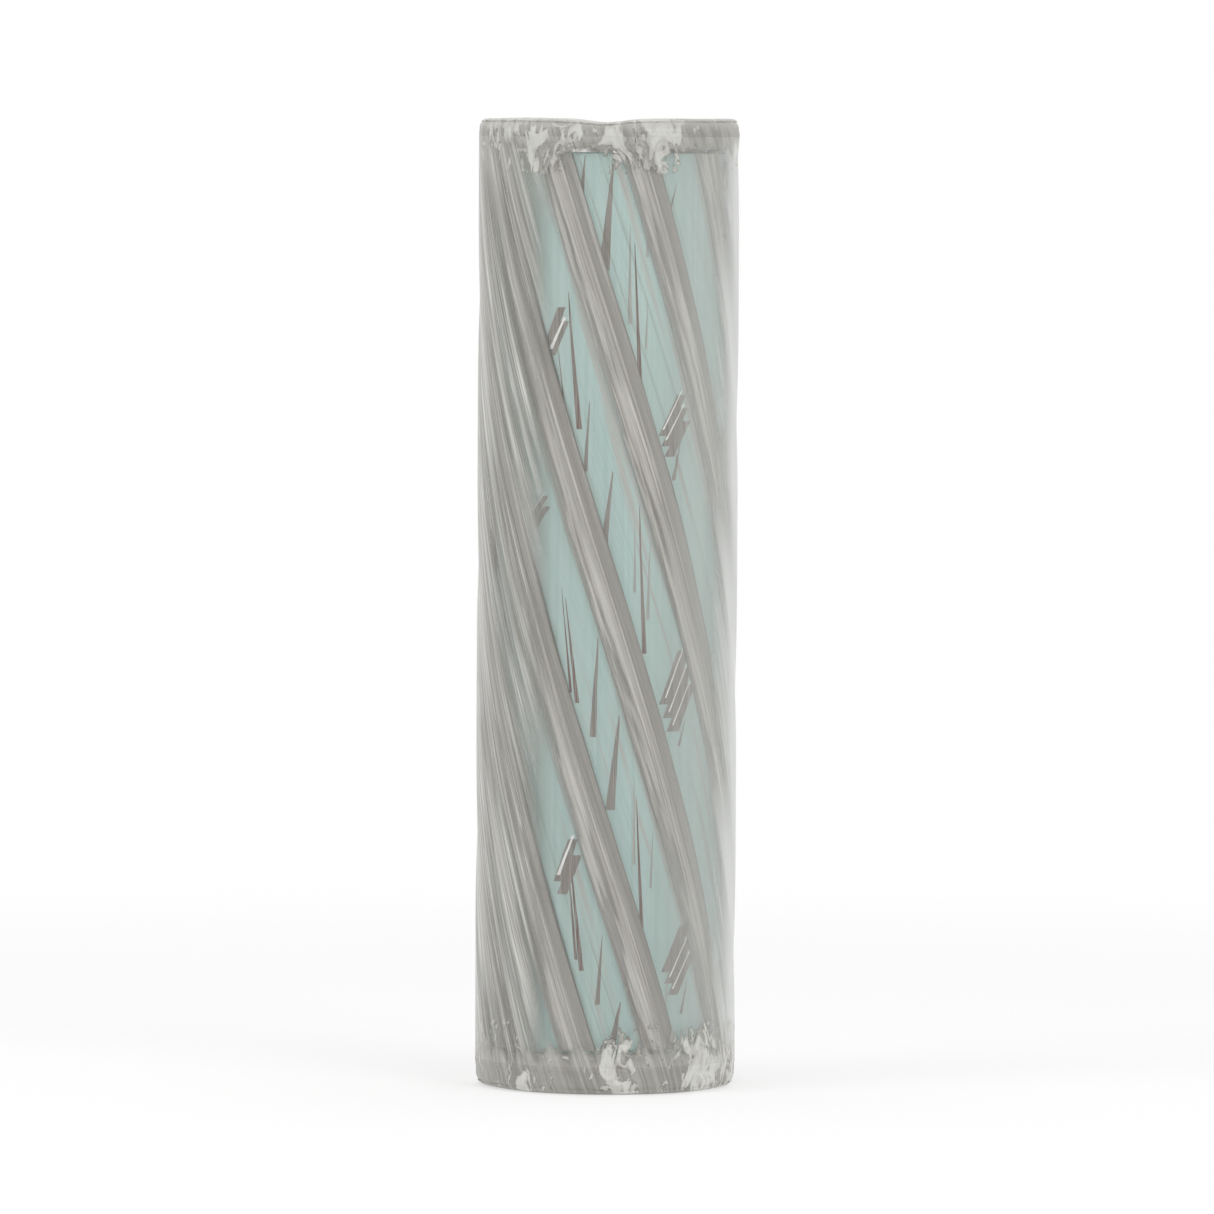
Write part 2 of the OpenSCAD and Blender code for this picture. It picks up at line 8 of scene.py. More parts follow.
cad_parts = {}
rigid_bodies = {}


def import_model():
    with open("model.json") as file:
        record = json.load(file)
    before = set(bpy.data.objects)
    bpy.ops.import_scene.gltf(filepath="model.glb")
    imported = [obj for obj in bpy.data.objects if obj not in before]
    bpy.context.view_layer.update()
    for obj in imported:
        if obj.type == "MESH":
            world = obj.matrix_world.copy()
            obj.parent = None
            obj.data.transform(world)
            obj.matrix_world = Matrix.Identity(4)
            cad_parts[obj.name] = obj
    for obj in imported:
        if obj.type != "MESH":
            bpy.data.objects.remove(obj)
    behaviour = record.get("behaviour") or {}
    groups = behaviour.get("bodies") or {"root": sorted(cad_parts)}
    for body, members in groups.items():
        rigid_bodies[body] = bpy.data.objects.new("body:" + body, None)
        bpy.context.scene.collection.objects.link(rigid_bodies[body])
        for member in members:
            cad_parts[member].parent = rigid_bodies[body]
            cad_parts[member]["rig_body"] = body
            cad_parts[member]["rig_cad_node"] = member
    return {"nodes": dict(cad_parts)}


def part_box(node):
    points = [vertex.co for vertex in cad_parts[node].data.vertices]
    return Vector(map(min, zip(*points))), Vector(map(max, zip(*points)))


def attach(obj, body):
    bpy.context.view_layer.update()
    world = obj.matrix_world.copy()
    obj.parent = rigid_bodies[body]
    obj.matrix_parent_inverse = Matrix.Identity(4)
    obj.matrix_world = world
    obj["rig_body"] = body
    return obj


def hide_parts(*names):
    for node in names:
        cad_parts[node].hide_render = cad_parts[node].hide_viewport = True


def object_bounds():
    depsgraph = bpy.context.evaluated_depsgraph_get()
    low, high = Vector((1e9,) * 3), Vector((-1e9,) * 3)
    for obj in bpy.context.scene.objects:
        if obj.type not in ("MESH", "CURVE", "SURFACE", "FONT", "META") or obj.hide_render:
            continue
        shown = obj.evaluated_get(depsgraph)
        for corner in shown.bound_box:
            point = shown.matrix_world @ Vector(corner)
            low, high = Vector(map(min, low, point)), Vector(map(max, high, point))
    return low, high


# Barber pole light: clear glass over a turning drum with nine spiral bands, round a lit core.
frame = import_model()
cadSize = [list(corner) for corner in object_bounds()]
nodes = frame["nodes"]
print("frame loaded:", len(nodes), "nodes")

# the spiral that the bands and the flutes in the glass share, as the CAD model has it
spiral = {"count": 9, "start": math.radians(-87.5), "width": math.radians(17.5), "lead": 1.380}
spiral["pitch"] = 2 * math.pi / spiral["count"]
tiny = 0.00002
longEdge = 0.02    # an edge with more rise than this runs up a piece


# helpers that select, shape and place pieces
def clearSelection():
    if bpy.context.mode != "OBJECT":
        bpy.ops.object.mode_set(mode="OBJECT")
    bpy.ops.object.select_all(action="DESELECT")


def makeActive(piece):
    clearSelection()
    piece.select_set(True)
    bpy.context.view_layer.objects.active = piece


def applyPlace(piece):
    makeActive(piece)
    bpy.ops.object.transform_apply(location=True, rotation=True, scale=True)


def applyAll(piece):
    makeActive(piece)
    for modifier in list(piece.modifiers):
        bpy.ops.object.modifier_apply(modifier=modifier.name)


def selectEdges(piece, wanted):
    makeActive(piece)
    bpy.ops.object.mode_set(mode="EDIT")
    bpy.ops.mesh.select_mode(type="EDGE")
    bpy.ops.mesh.select_all(action="DESELECT")
    bpy.ops.object.mode_set(mode="OBJECT")
    verts = piece.data.vertices
    for edge in piece.data.edges:
        edge.select = wanted(verts[edge.vertices[0]].co, verts[edge.vertices[1]].co)
    bpy.ops.object.mode_set(mode="EDIT")


def fixNormals(piece):
    makeActive(piece)
    bpy.ops.object.mode_set(mode="EDIT")
    bpy.ops.mesh.select_all(action="SELECT")
    bpy.ops.mesh.remove_doubles(threshold=tiny / 4)
    bpy.ops.mesh.normals_make_consistent(inside=False)
    bpy.ops.object.mode_set(mode="OBJECT")


def smooth(piece, degrees=35):
    makeActive(piece)
    bpy.ops.object.shade_smooth_by_angle(angle=math.radians(degrees))


def radiusOf(place):
    return math.hypot(place.x, place.y)


def rimEdge(a, b):
    return abs(a.z - b.z) < tiny and abs(radiusOf(a) - radiusOf(b)) < tiny


def upright(a, b):
    return abs(a.z - b.z) > longEdge


def twist(piece, height):
    modifier = piece.modifiers.new("twist", "SIMPLE_DEFORM")
    modifier.deform_method = "TWIST"
    modifier.deform_axis = "Z"
    modifier.angle = -2 * math.pi * height / spiral["lead"]
    applyAll(piece)


def makeTube(name, outer, inner, low, high, segments, rim, steps):
    clearSelection()
    bpy.ops.mesh.primitive_circle_add(vertices=segments, radius=outer, location=(0, 0, low))
    tube = bpy.context.object
    tube.name = tube.data.name = name
    applyPlace(tube)
    bpy.ops.object.mode_set(mode="EDIT")
    bpy.ops.mesh.primitive_circle_add(vertices=segments, radius=inner, location=(0, 0, low))
    bpy.ops.mesh.select_all(action="SELECT")
    bpy.ops.mesh.bridge_edge_loops()
    bpy.ops.mesh.select_all(action="SELECT")
    bpy.ops.mesh.extrude_region_move(TRANSFORM_OT_translate={"value": (0, 0, high - low)})
    selectEdges(tube, rimEdge)
    bpy.ops.mesh.bevel(offset=rim, segments=3, affect="EDGES")
    selectEdges(tube, upright)
    bpy.ops.mesh.subdivide(number_cuts=steps)
    fixNormals(tube)
    return tube


def finishPiece(piece, body, slot, *replaced):
    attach(piece, body)
    if replaced:
        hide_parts(*replaced)


def dress(piece, *materials):
    piece.data.materials.clear()
    for material in materials:
        piece.data.materials.append(material)


# helpers that build node trees
def put(tree, kind, values=None, **settings):
    node = tree.nodes.new("ShaderNode" + kind)
    for key, value in settings.items():
        setattr(node, key, value)
    for socket, value in (values or {}).items():
        if isinstance(value, bpy.types.NodeSocket):
            tree.links.new(value, node.inputs[socket])
        else:
            node.inputs[socket].default_value = value
    return node


def calc(tree, operation, first, second=0.0):
    return put(tree, "Math", {0: first, 1: second}, operation=operation).outputs[0]


def remap(tree, value, low, high, toLow=0.0, toHigh=1.0, kind="LINEAR"):
    node = put(tree, "MapRange", {0: value, 1: low, 2: high, 3: toLow, 4: toHigh}, interpolation_type=kind)
    return node.outputs[0]


def mixColour(tree, share, first, second):
    return put(tree, "Mix", {0: share, 6: first, 7: second}, data_type="RGBA").outputs[2]


def ramp(tree, value, stops):
    node = put(tree, "ValToRGB", {0: value})
    elements = node.color_ramp.elements
    while len(elements) < len(stops):
        elements.new(0.5)
    for element, (place, colour) in zip(elements, stops):
        element.position = place
        element.color = colour
    return node.outputs[0]


def newMaterial(name):
    material = bpy.data.materials.new(name)
    material.use_nodes = True
    material.node_tree.nodes.clear()
    return material, material.node_tree


def objectPlace(tree):
    return put(tree, "TexCoord").outputs["Object"]


def showShader(tree, shader):
    put(tree, "OutputMaterial", {"Surface": shader})


def newGroup(name, inputs, outputs):
    group = bpy.data.node_groups.new(name, "ShaderNodeTree")
    for label, kind, value in inputs:
        socket = group.interface.new_socket(name=label, in_out="INPUT", socket_type="NodeSocket" + kind)
        if value is not None:
            socket.default_value = value
    for label, kind in outputs:
        group.interface.new_socket(name=label, in_out="OUTPUT", socket_type="NodeSocket" + kind)
    return group, group.nodes.new("NodeGroupInput").outputs, group.nodes.new("NodeGroupOutput").inputs


def useGroup(tree, group, values):
    node = tree.nodes.new("ShaderNodeGroup")
    node.node_tree = group
    for socket, value in values.items():
        if isinstance(value, bpy.types.NodeSocket):
            tree.links.new(value, node.inputs[socket])
        else:
            node.inputs[socket].default_value = value
    return node.outputs


# effects that several materials share
def makeSpiralPlace():
    group, source, sink = newGroup(
        "spiralPlace",
        [("Vector", "Vector", None), ("Turns per metre", "Float", 0.0)],
        [("Wrapped", "Vector"), ("Turn", "Float"), ("Height", "Float")])
    parts = put(group, "SeparateXYZ", {0: source["Vector"]}).outputs
    angle = calc(group, "ARCTAN2", parts[1], parts[0])
    turns = calc(group, "MULTIPLY", parts[2], source["Turns per metre"])
    turned = calc(group, "MULTIPLY", turns, 2 * math.pi)
    total = calc(group, "ADD", angle, turned)
    wrapped = put(group, "CombineXYZ", {
        0: calc(group, "COSINE", total), 1: calc(group, "SINE", total), 2: parts[2]}).outputs[0]
    group.links.new(wrapped, sink["Wrapped"])
    group.links.new(calc(group, "DIVIDE", total, 2 * math.pi), sink["Turn"])
    group.links.new(parts[2], sink["Height"])
    return group


lineWidth = 0.014, 0.042    # a line is full up to the first distance from its middle, gone at the second


def makeStreaks():
    group, source, sink = newGroup(
        "streaks",
        [("Vector", "Vector", None), ("Across", "Float", 60.0), ("Along", "Float", 8.0),
         ("Seed", "Float", 0.0), ("Low", "Float", 0.4), ("High", "Float", 0.6)],
        [("Mask", "Float"), ("Line", "Float"), ("Plain", "Float")])
    parts = put(group, "SeparateXYZ", {0: source["Vector"]}).outputs
    stretched = put(group, "CombineXYZ", {
        0: calc(group, "MULTIPLY", parts[0], source["Across"]),
        1: calc(group, "MULTIPLY", parts[1], source["Across"]),
        2: calc(group, "ADD", calc(group, "MULTIPLY", parts[2], source["Along"]), source["Seed"])}).outputs[0]
    grain = put(group, "TexNoise", {
        "Vector": stretched, "Scale": 1.0, "Detail": 2.0, "Roughness": 0.6}).outputs[0]
    group.links.new(remap(group, grain, source["Low"], source["High"]), sink["Mask"])
    away = calc(group, "ABSOLUTE", calc(group, "SUBTRACT", grain, 0.5))
    group.links.new(remap(group, away, *lineWidth, 1.0, 0.0), sink["Line"])
    group.links.new(grain, sink["Plain"])
    return group


def makeGrain():
    group, source, sink = newGroup(
        "surfaceGrain",
        [("Vector", "Vector", None), ("Size", "Float", 0.001), ("Smudge size", "Float", 0.02)],
        [("Fine", "Float"), ("Smudge", "Float"), ("Scratch", "Float")])
    fineScale = calc(group, "DIVIDE", 1.0, source["Size"])
    fine = put(group, "TexNoise", {"Vector": source["Vector"], "Scale": fineScale, "Detail": 3.0}).outputs[0]
    smudgeScale = calc(group, "DIVIDE", 1.0, source["Smudge size"])
    smudge = put(group, "TexNoise", {
        "Vector": source["Vector"], "Scale": smudgeScale, "Detail": 4.0, "Distortion": 1.5}).outputs[0]
    stretched = put(group, "Mapping", {
        "Vector": source["Vector"], "Rotation": (0.4, 0.2, 0.6), "Scale": (1, 14, 1)}).outputs[0]
    scratch = put(group, "TexNoise", {"Vector": stretched, "Scale": 90.0, "Detail": 2.0}).outputs[0]
    group.links.new(fine, sink["Fine"])
    group.links.new(remap(group, smudge, 0.35, 0.7), sink["Smudge"])
    group.links.new(remap(group, scratch, 0.66, 0.72), sink["Scratch"])
    return group


def makeCrumple():
    group, source, sink = newGroup(
        "crumpledIce",
        [("Vector", "Vector", None), ("Amount", "Float", 0.0), ("Seed", "Float", 0.0),
         ("White", "Color", (1, 1, 1, 1)), ("Cream", "Color", (1, 1, 1, 1)),
         ("Grey", "Color", (0.5, 0.5, 0.5, 1)), ("Brown", "Color", (0.1, 0.1, 0.1, 1))],
        [("Colour", "Color"), ("Patch", "Float"), ("Height", "Float")])
    shift = put(group, "CombineXYZ", {2: source["Seed"]}).outputs[0]
    moved = put(group, "VectorMath", {0: source["Vector"], 1: shift}, operation="ADD").outputs[0]
    drawn = put(group, "Mapping", {"Vector": moved, "Scale": (1, 1, 0.5)}).outputs[0]
    broad = put(group, "TexNoise", {
        "Vector": drawn, "Scale": 27.0, "Detail": 2.5, "Roughness": 0.5, "Distortion": 0.7}).outputs[0]
    folds = put(group, "TexNoise", {
        "Vector": drawn, "Scale": 105.0, "Detail": 3.0, "Roughness": 0.55, "Distortion": 1.8}).outputs[0]
    fine = put(group, "TexNoise", {
        "Vector": moved, "Scale": 360.0, "Detail": 2.0, "Distortion": 1.2}).outputs[0]
    jagged = calc(group, "ADD", broad, calc(group, "MULTIPLY", calc(group, "SUBTRACT", folds, 0.5), 0.8))
    level = calc(group, "ADD", jagged, source["Amount"])
    # painted light on the crumpled ice: the cream and white patches are painted highlights, and the brown
    # outline round each patch is painted shade in the creases
    cream = remap(group, level, 0.54, 0.575)
    white = calc(group, "MULTIPLY", remap(group, level, 0.60, 0.64), remap(group, folds, 0.46, 0.54))
    away = calc(group, "ABSOLUTE", calc(group, "SUBTRACT", level, 0.548))
    broken = remap(group, fine, 0.42, 0.52)
    outline = calc(group, "MULTIPLY", remap(group, away, 0.006, 0.022, 1.0, 0.0), broken)
    # the folds turn some facets from grey to cream: painted shading of the folds
    facets = calc(group, "MULTIPLY", remap(group, folds, 0.49, 0.58), 0.62)
    colour = mixColour(group, facets, source["Grey"], source["Cream"])
    colour = mixColour(group, cream, colour, source["Cream"])
    colour = mixColour(group, white, colour, source["White"])
    colour = mixColour(group, calc(group, "MULTIPLY", outline, 0.8), colour, source["Brown"])
    group.links.new(colour, sink["Colour"])
    group.links.new(calc(group, "MAXIMUM", cream, outline), sink["Patch"])
    group.links.new(calc(group, "ADD", level, calc(group, "MULTIPLY", folds, 0.5)), sink["Height"])
    return group


spiralPlace = makeSpiralPlace()
streaks = makeStreaks()
surfaceGrain = makeGrain()
crumpledIce = makeCrumple()


# the place on a cylinder, untwisted when turns per metre are given
def placeRound(tree, turnsPerMetre=0.0):
    return useGroup(tree, spiralPlace, {"Vector": objectPlace(tree), "Turns per metre": turnsPerMetre})


# across and along say how close the streaks lie round the object and up it
def streaksOn(tree, place, across, along, seed, low=0.4, high=0.6):
    return useGroup(tree, streaks, {
        "Vector": place["Wrapped"], "Across": across, "Along": along, "Seed": seed, "Low": low, "High": high})


def bumpFrom(tree, height, strength, distance):
    return put(tree, "Bump", {"Strength": strength, "Distance": distance, "Height": height}).outputs[0]


def bandPlace(tree, turn):
    # 0 at a band's leading edge, 1 at its trailing edge, more in the window beyond
    turns = calc(tree, "SUBTRACT", spiral["start"] / (2 * math.pi), turn)
    share = calc(tree, "FRACT", calc(tree, "MULTIPLY", turns, float(spiral["count"])))
    return calc(tree, "DIVIDE", share, spiral["width"] / spiral["pitch"])


def lampFriendly(tree, shader, tint):
    # lets lamp light through the clear wall, so that what stands behind it is lit
    clear = put(tree, "BsdfTransparent", {0: tint}).outputs[0]
    shadowRay = put(tree, "LightPath").outputs["Is Shadow Ray"]
    return put(tree, "MixShader", {0: shadowRay, 1: shader, 2: clear}).outputs[0]


print("shared effects ready")


# crumpled ice: on the base, on the cap and at both ends of the glass
ice = {
    "patches": 0.04, "voxel": 0.0011, "depth": 0.0009, "cell": 0.013, "corner": 0.006, "keepRadius": 0.0738,
    "baseSeed": 1.7, "capSeed": 4.1, "topSeed": 6.0, "jointFade": 0.004,
    # the top face sinks in waves, with one dip near its middle
    "waveReach": 0.008, "waveDepth": 0.0016, "dipDepth": 0.0024, "dipPlace": -0.002, "dipWidth": 0.014,
    # rings that fill the joints with the glass
    "ringGap": 0.00003, "ringReach": 0.0012, "flatHalf": 0.024, "flatFade": 0.004,
    "seed": 0.0, "roughness": 0.42, "clearRoughness": 0.12, "ior": 1.47, "solidShare": 0.78,
    "topFrom": 0.007, "topTo": 0.004, "topPale": 0.7,
    # white and cream are painted highlights on the crumpled ice, grey its painted facet shade, brown its
    # painted crease shade and the streak lines
    "white": (0.65, 0.65, 0.61, 1), "cream": (0.53, 0.525, 0.485, 1), "grey": (0.46, 0.45, 0.42, 1),
    "streak": (0.325, 0.315, 0.285, 1), "brown": (0.15, 0.13, 0.10, 1),
    "clearTint": (0.78, 0.77, 0.75, 1), "lampTint": (0.72, 0.71, 0.70, 1),
}


def endShade(tree, amount):
    # the bands run on into the ice as darker streaks
    crumpled = useGroup(tree, crumpledIce, {
        "Vector": objectPlace(tree), "Amount": amount, "Seed": ice["seed"],
        "White": ice["white"], "Cream": ice["cream"], "Grey": ice["grey"], "Brown": ice["brown"]})
    turned = placeRound(tree, 1 / spiral["lead"])
    across = bandPlace(tree, turned["Turn"])
    streaked = streaksOn(tree, turned, 17.0, 4.0, 2.0, 0.40, 0.62)
    inBand = calc(tree, "MULTIPLY", remap(tree, across, 0.8, 1.3, 1.0, 0.25), streaked["Mask"])
    inBand = calc(tree, "MULTIPLY", inBand, remap(tree, crumpled["Patch"], 0.0, 1.0, 0.9, 0.15))
    shade = mixColour(tree, inBand, crumpled["Colour"], ice["streak"])
    line = calc(tree, "MULTIPLY", streaked["Line"], remap(tree, crumpled["Patch"], 0.0, 1.0, 0.32, 0.05))
    shade = mixColour(tree, line, shade, ice["brown"])
    return shade, crumpled["Patch"], crumpled["Height"]


glass = {
    "wall": 0.003, "segments": 360, "steps": 72, "rim": 0.00015,
    "fluteDepth": 0.0009, "fluteWidth": 0.62, "fluteMiddle": 0.30,
    "fluteSkew": 1.25, "flutePower": 1.5, "fluteFade": 0.012,
    "ior": 1.47, "hazeRoughness": 0.35, "frostCover": 0.92, "edgeSheen": 0.85, "veilHaze": 0.2,
    "tint": (0.95, 0.94, 0.93, 1), "lineTint": (0.84, 0.80, 0.77, 1), "lampTint": (0.93, 0.92, 0.91, 1),
    "hazePale": (0.56, 0.555, 0.525, 1), "hazePlain": (0.41, 0.405, 0.37, 1),
    # the white colour paints highlight lines in the glass
    "hazeDark": (0.11, 0.095, 0.07, 1), "hazeHighlight": (0.95, 0.95, 0.93, 1),
    # colour of the painted pale sheen on one side of the glass
    "hazeSheen": (0.70, 0.72, 0.695, 1),
    # painted light on fixed sides: full of lines with painted highlights on one side, a pale painted sheen on
    # the other; a zone is where each starts and where it is full
    "linedSide": math.radians(-172), "sheenSide": math.radians(2),
    "linedZone": (0.54, 0.76), "sheenZone": (0.68, 0.93), "veilZone": (0.2, 0.7),
    "frostLow": 0.026, "frostHigh": 0.022,
}


def fluteAt(angle):
    # 0 on the plain wall, 1 at the bottom of a flute; a flute is steeper on its leading side
    place = ((spiral["start"] - angle) / spiral["pitch"]) % 1.0
    start = glass["fluteMiddle"] - glass["fluteWidth"] / 2
    share = ((place - start) % 1.0) / glass["fluteWidth"]
    if share >= 1:
        return 0.0
    return math.sin(math.pi * share ** glass["fluteSkew"]) ** glass["flutePower"]


def makeGlass():
    low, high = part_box("glass_cylinder")
    outer = high.x
    inner = outer - glass["wall"]
    tube = makeTube("glass_cylinder_fluted", outer, inner, low.z, high.z,
                    glass["segments"], glass["rim"], glass["steps"])
    middle = (outer + inner) / 2
    for vertex in tube.data.vertices:
        place = vertex.co
        radius = radiusOf(place)
        if radius > middle:
            fade = min(1.0, (place.z - low.z) / glass["fluteFade"], (high.z - place.z) / glass["fluteFade"])
            cut = glass["fluteDepth"] * fluteAt(math.atan2(place.y, place.x)) * max(fade, 0.0)
            share = (radius - cut) / radius
            place.x *= share
            place.y *= share
    twist(tube, high.z - low.z)
    smooth(tube, 50)
    return tube


def sideZone(tree, wrapped, angle, low, high):
    toward = (math.cos(angle), math.sin(angle), 0)
    flat = put(tree, "VectorMath", {0: wrapped, 1: (1, 1, 0)}, operation="MULTIPLY").outputs[0]
    dot = put(tree, "VectorMath", {0: flat, 1: toward}, operation="DOT_PRODUCT").outputs["Value"]
    return remap(tree, dot, low, high, 0.0, 1.0, "SMOOTHSTEP")


def makeOuterGlassFinish():
    low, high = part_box("glass_cylinder")
    material, tree = newMaterial("outerGlass")
    around = placeRound(tree)
    place = placeRound(tree, 1 / spiral["lead"])
    lines = streaksOn(tree, place, 26.0, 3.0, 3.0, 0.62, 0.66)
    pale = streaksOn(tree, place, 22.0, 3.0, 12.0, 0.64, 0.68)
    come = streaksOn(tree, place, 16.0, 14.0, 21.0, 0.42, 0.56)
    broad = streaksOn(tree, place, 12.0, 3.0, 8.0, 0.38, 0.62)
    lined = sideZone(tree, around["Wrapped"], glass["linedSide"], *glass["linedZone"])
    sheen = sideZone(tree, around["Wrapped"], glass["sheenSide"], *glass["sheenZone"])
    # haze that grows where the glass is seen at a slant: it stands in as painted sheen along the edges
    facing = put(tree, "LayerWeight", {"Blend": 0.5}).outputs["Facing"]
    edge = remap(tree, facing, 0.36, 0.76, 0.0, glass["edgeSheen"], "SMOOTHSTEP")
    # how much haze the glass carries, its painted sheen and highlight lines included
    linedShare = calc(tree, "MULTIPLY", lined, remap(tree, broad["Mask"], 0.0, 1.0, 0.22, 0.88))
    sheenShare = calc(tree, "MULTIPLY", sheen, remap(tree, broad["Mask"], 0.0, 1.0, 0.2, 0.72))
    # a wider, fainter band of the same painted sheen
    veil = sideZone(tree, around["Wrapped"], glass["sheenSide"], *glass["veilZone"])
    sheenShare = calc(tree, "MAXIMUM", sheenShare, calc(tree, "MULTIPLY", veil, glass["veilHaze"]))
    sheen = calc(tree, "MAXIMUM", sheen, veil)
    share = calc(tree, "MAXIMUM", edge, calc(tree, "MAXIMUM", linedShare, sheenShare))
    # its colour: plain between the lines, dark and white in them; the white lines are painted highlights and
    # the pale side is painted sheen
    tone = mixColour(tree, broad["Mask"], glass["hazePlain"], glass["hazePale"])
    tone = mixColour(tree, calc(tree, "MULTIPLY", sheen, 0.85), tone, glass["hazeSheen"])
    darkLine = calc(tree, "MAXIMUM", lines["Line"], lines["Mask"])
    highlightLine = calc(tree, "MULTIPLY", calc(tree, "MAXIMUM", pale["Line"], pale["Mask"]), come["Mask"])
    darkShare = calc(tree, "MULTIPLY", darkLine, remap(tree, lined, 0.0, 1.0, 0.04, 0.55))
    highlightShare = calc(tree, "MULTIPLY", highlightLine, remap(tree, lined, 0.0, 1.0, 0.03, 0.62))
    share = calc(tree, "MAXIMUM", share, calc(tree, "MAXIMUM", darkShare, highlightShare))
    tone = mixColour(tree, darkShare, tone, glass["hazeDark"])
    tone = mixColour(tree, highlightShare, tone, glass["hazeHighlight"])
    # crumpled ice at both ends
    fromLow = remap(tree, around["Height"], low.z, low.z + glass["frostLow"], 1.0, 0.0)
    fromHigh = remap(tree, around["Height"], high.z - glass["frostHigh"], high.z, 0.0, 1.0)
    nearEnd = calc(tree, "MAXIMUM", fromLow, fromHigh)
    amount = remap(tree, nearEnd, 0.0, 1.0, -0.13, ice["patches"])
    endColour, patch = endShade(tree, amount)[:2]
    ragged = streaksOn(tree, place, 7.0, 8.0, 2.0)
    uneven = calc(tree, "MULTIPLY", calc(tree, "SUBTRACT", ragged["Plain"], 0.5), 1.1)
    whole = remap(tree, calc(tree, "ADD", nearEnd, uneven), 0.50, 0.95, 0.0, 1.0, "SMOOTHSTEP")
    frosted = calc(tree, "MULTIPLY", calc(tree, "MAXIMUM", patch, whole), remap(tree, nearEnd, 0.0, 0.1))
    tone = mixColour(tree, frosted, tone, endColour)
    share = calc(tree, "MAXIMUM", share, calc(tree, "MULTIPLY", frosted, glass["frostCover"]))
    tint = mixColour(tree, lines["Mask"], glass["tint"], glass["lineTint"])
    clear = put(tree, "BsdfPrincipled", {
        "Base Color": tint, "Roughness": 0.0, "IOR": glass["ior"], "Transmission Weight": 1.0}).outputs[0]
    haze = put(tree, "BsdfPrincipled", {"Base Color": tone, "Roughness": glass["hazeRoughness"]}).outputs[0]
    body = put(tree, "MixShader", {0: share, 1: clear, 2: haze}).outputs[0]
    showShader(tree, lampFriendly(tree, body, glass["lampTint"]))
    return material


glassPiece = makeGlass()
dress(glassPiece, makeOuterGlassFinish())
finishPiece(glassPiece, "case", "outer_glass", "glass_cylinder")
print("glass cylinder ready")


drum = {
    "wall": 0.002, "segments": 240, "steps": 1, "rim": 0.0004,
    "aqua": (0.54, 0.72, 0.70, 1), "aquaDeep": (0.47, 0.65, 0.63, 1), "aquaPale": (0.60, 0.75, 0.73, 1),
    "film": (0.56, 0.555, 0.53, 1), "lampTint": (0.80, 0.88, 0.87, 1),
    "roughness": 0.08, "clearness": 0.25, "ior": 1.49,
}

# dark spikes and hatches of short strokes laid on the drum's skin, as painted shadows of the bands with pale
# strokes as painted highlights: one set is repeated at every band
marks = {
    "pitch": spiral["lead"] / spiral["count"], "drift": -2.5, "turns": (0, 120, 240), "levels": range(-1, 4),
    "rings": 8, "seed": 7, "stray": 2.0, "skip": 0.25, "shortest": 0.008,
    # angle from the front at the top and at the bottom, low and high end in mm, width in mm, colour
    "spikes": [(-19, -13, 72, 146, 3.2, "brown"), (-21, -16, 78, 138, 1.6, "brown"),
               (-6, -8, 50, 104, 3.6, "dark"), (6, 2, 10, 64, 5.6, "dark"), (12, 12, 133, 187, 2.4, "grey"),
               (20, 19, 118, 157, 2.0, "grey"), (14, 17, 98, 180, 2.6, "brown"),
               (41, 37, 46, 66, 2.4, "dark"), (27, 25, 20, 75, 1.8, "grey")],
    # the same, with how many strokes lie under each other and the width of the pale ones
    "hatches": [(38, 28, 70, 98, 7.5, "dark", 3, 1.5), (-20, -27, 122, 146, 6.0, "dark", 2, 2.8),
                (-30, -37, 22, 42, 7.0, "dark", 2, 0.9)],
    "step": 0.0072, "strokeShrink": 0.25, "paleLift": 0.5, "paleTop": 0.6,
    "spikeSize": (0.7, 1.15), "hatchSize": (0.65, 1.1), "endGap": 0.001, "roughness": 0.35,
    "spikeBlunt": 0.15, "strokeBlunt": 0.95, "paleBlunt": 0.6,
    "half": {"brown": 0.00012, "dark": 0.0001, "grey": 0.0001, "white": 0.00013},
    # brown, dark and grey paint the bands' shadows, white paints highlights
    "brown": (0.14, 0.09, 0.075, 1), "dark": (0.19, 0.175, 0.155, 1), "grey": (0.30, 0.325, 0.305, 1),
    "white": (0.90, 0.93, 0.93, 1),
}


def makeDrumTube():
    low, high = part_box("drum_tube")
    tube = makeTube("drum_tube_aqua", high.x, high.x - drum["wall"], low.z, high.z,
                    drum["segments"], drum["rim"], drum["steps"])
    smooth(tube, 50)
    return tube


def makeUnitMark():
    # a bar one unit wide, thick and high, which every mark is a copy of
    clearSelection()
    bpy.ops.mesh.primitive_cylinder_add(vertices=6, radius=0.5, depth=1)
    piece = bpy.context.object
    selectEdges(piece, upright)
    bpy.ops.mesh.subdivide(number_cuts=marks["rings"])
    bpy.ops.object.mode_set(mode="OBJECT")
    return piece


def makeMark(unit, radius, topAngle, lowAngle, low, high, width, half, blunt):
    # lays a copy on the drum's skin, thinner towards its top
    piece = unit.copy()
    piece.data = unit.data.copy()
    bpy.context.scene.collection.objects.link(piece)
    for vertex in piece.data.vertices:
        place = vertex.co
        share = place.z + 0.5
        wide = width * (1 - share * (1 - blunt))
        angle = math.radians(lowAngle + share * (topAngle - lowAngle) - 90) + place.y * wide / radius
        reach = radius + place.x * 2 * half
        vertex.co = (reach * math.cos(angle), reach * math.sin(angle), low + share * (high - low))
    return piece


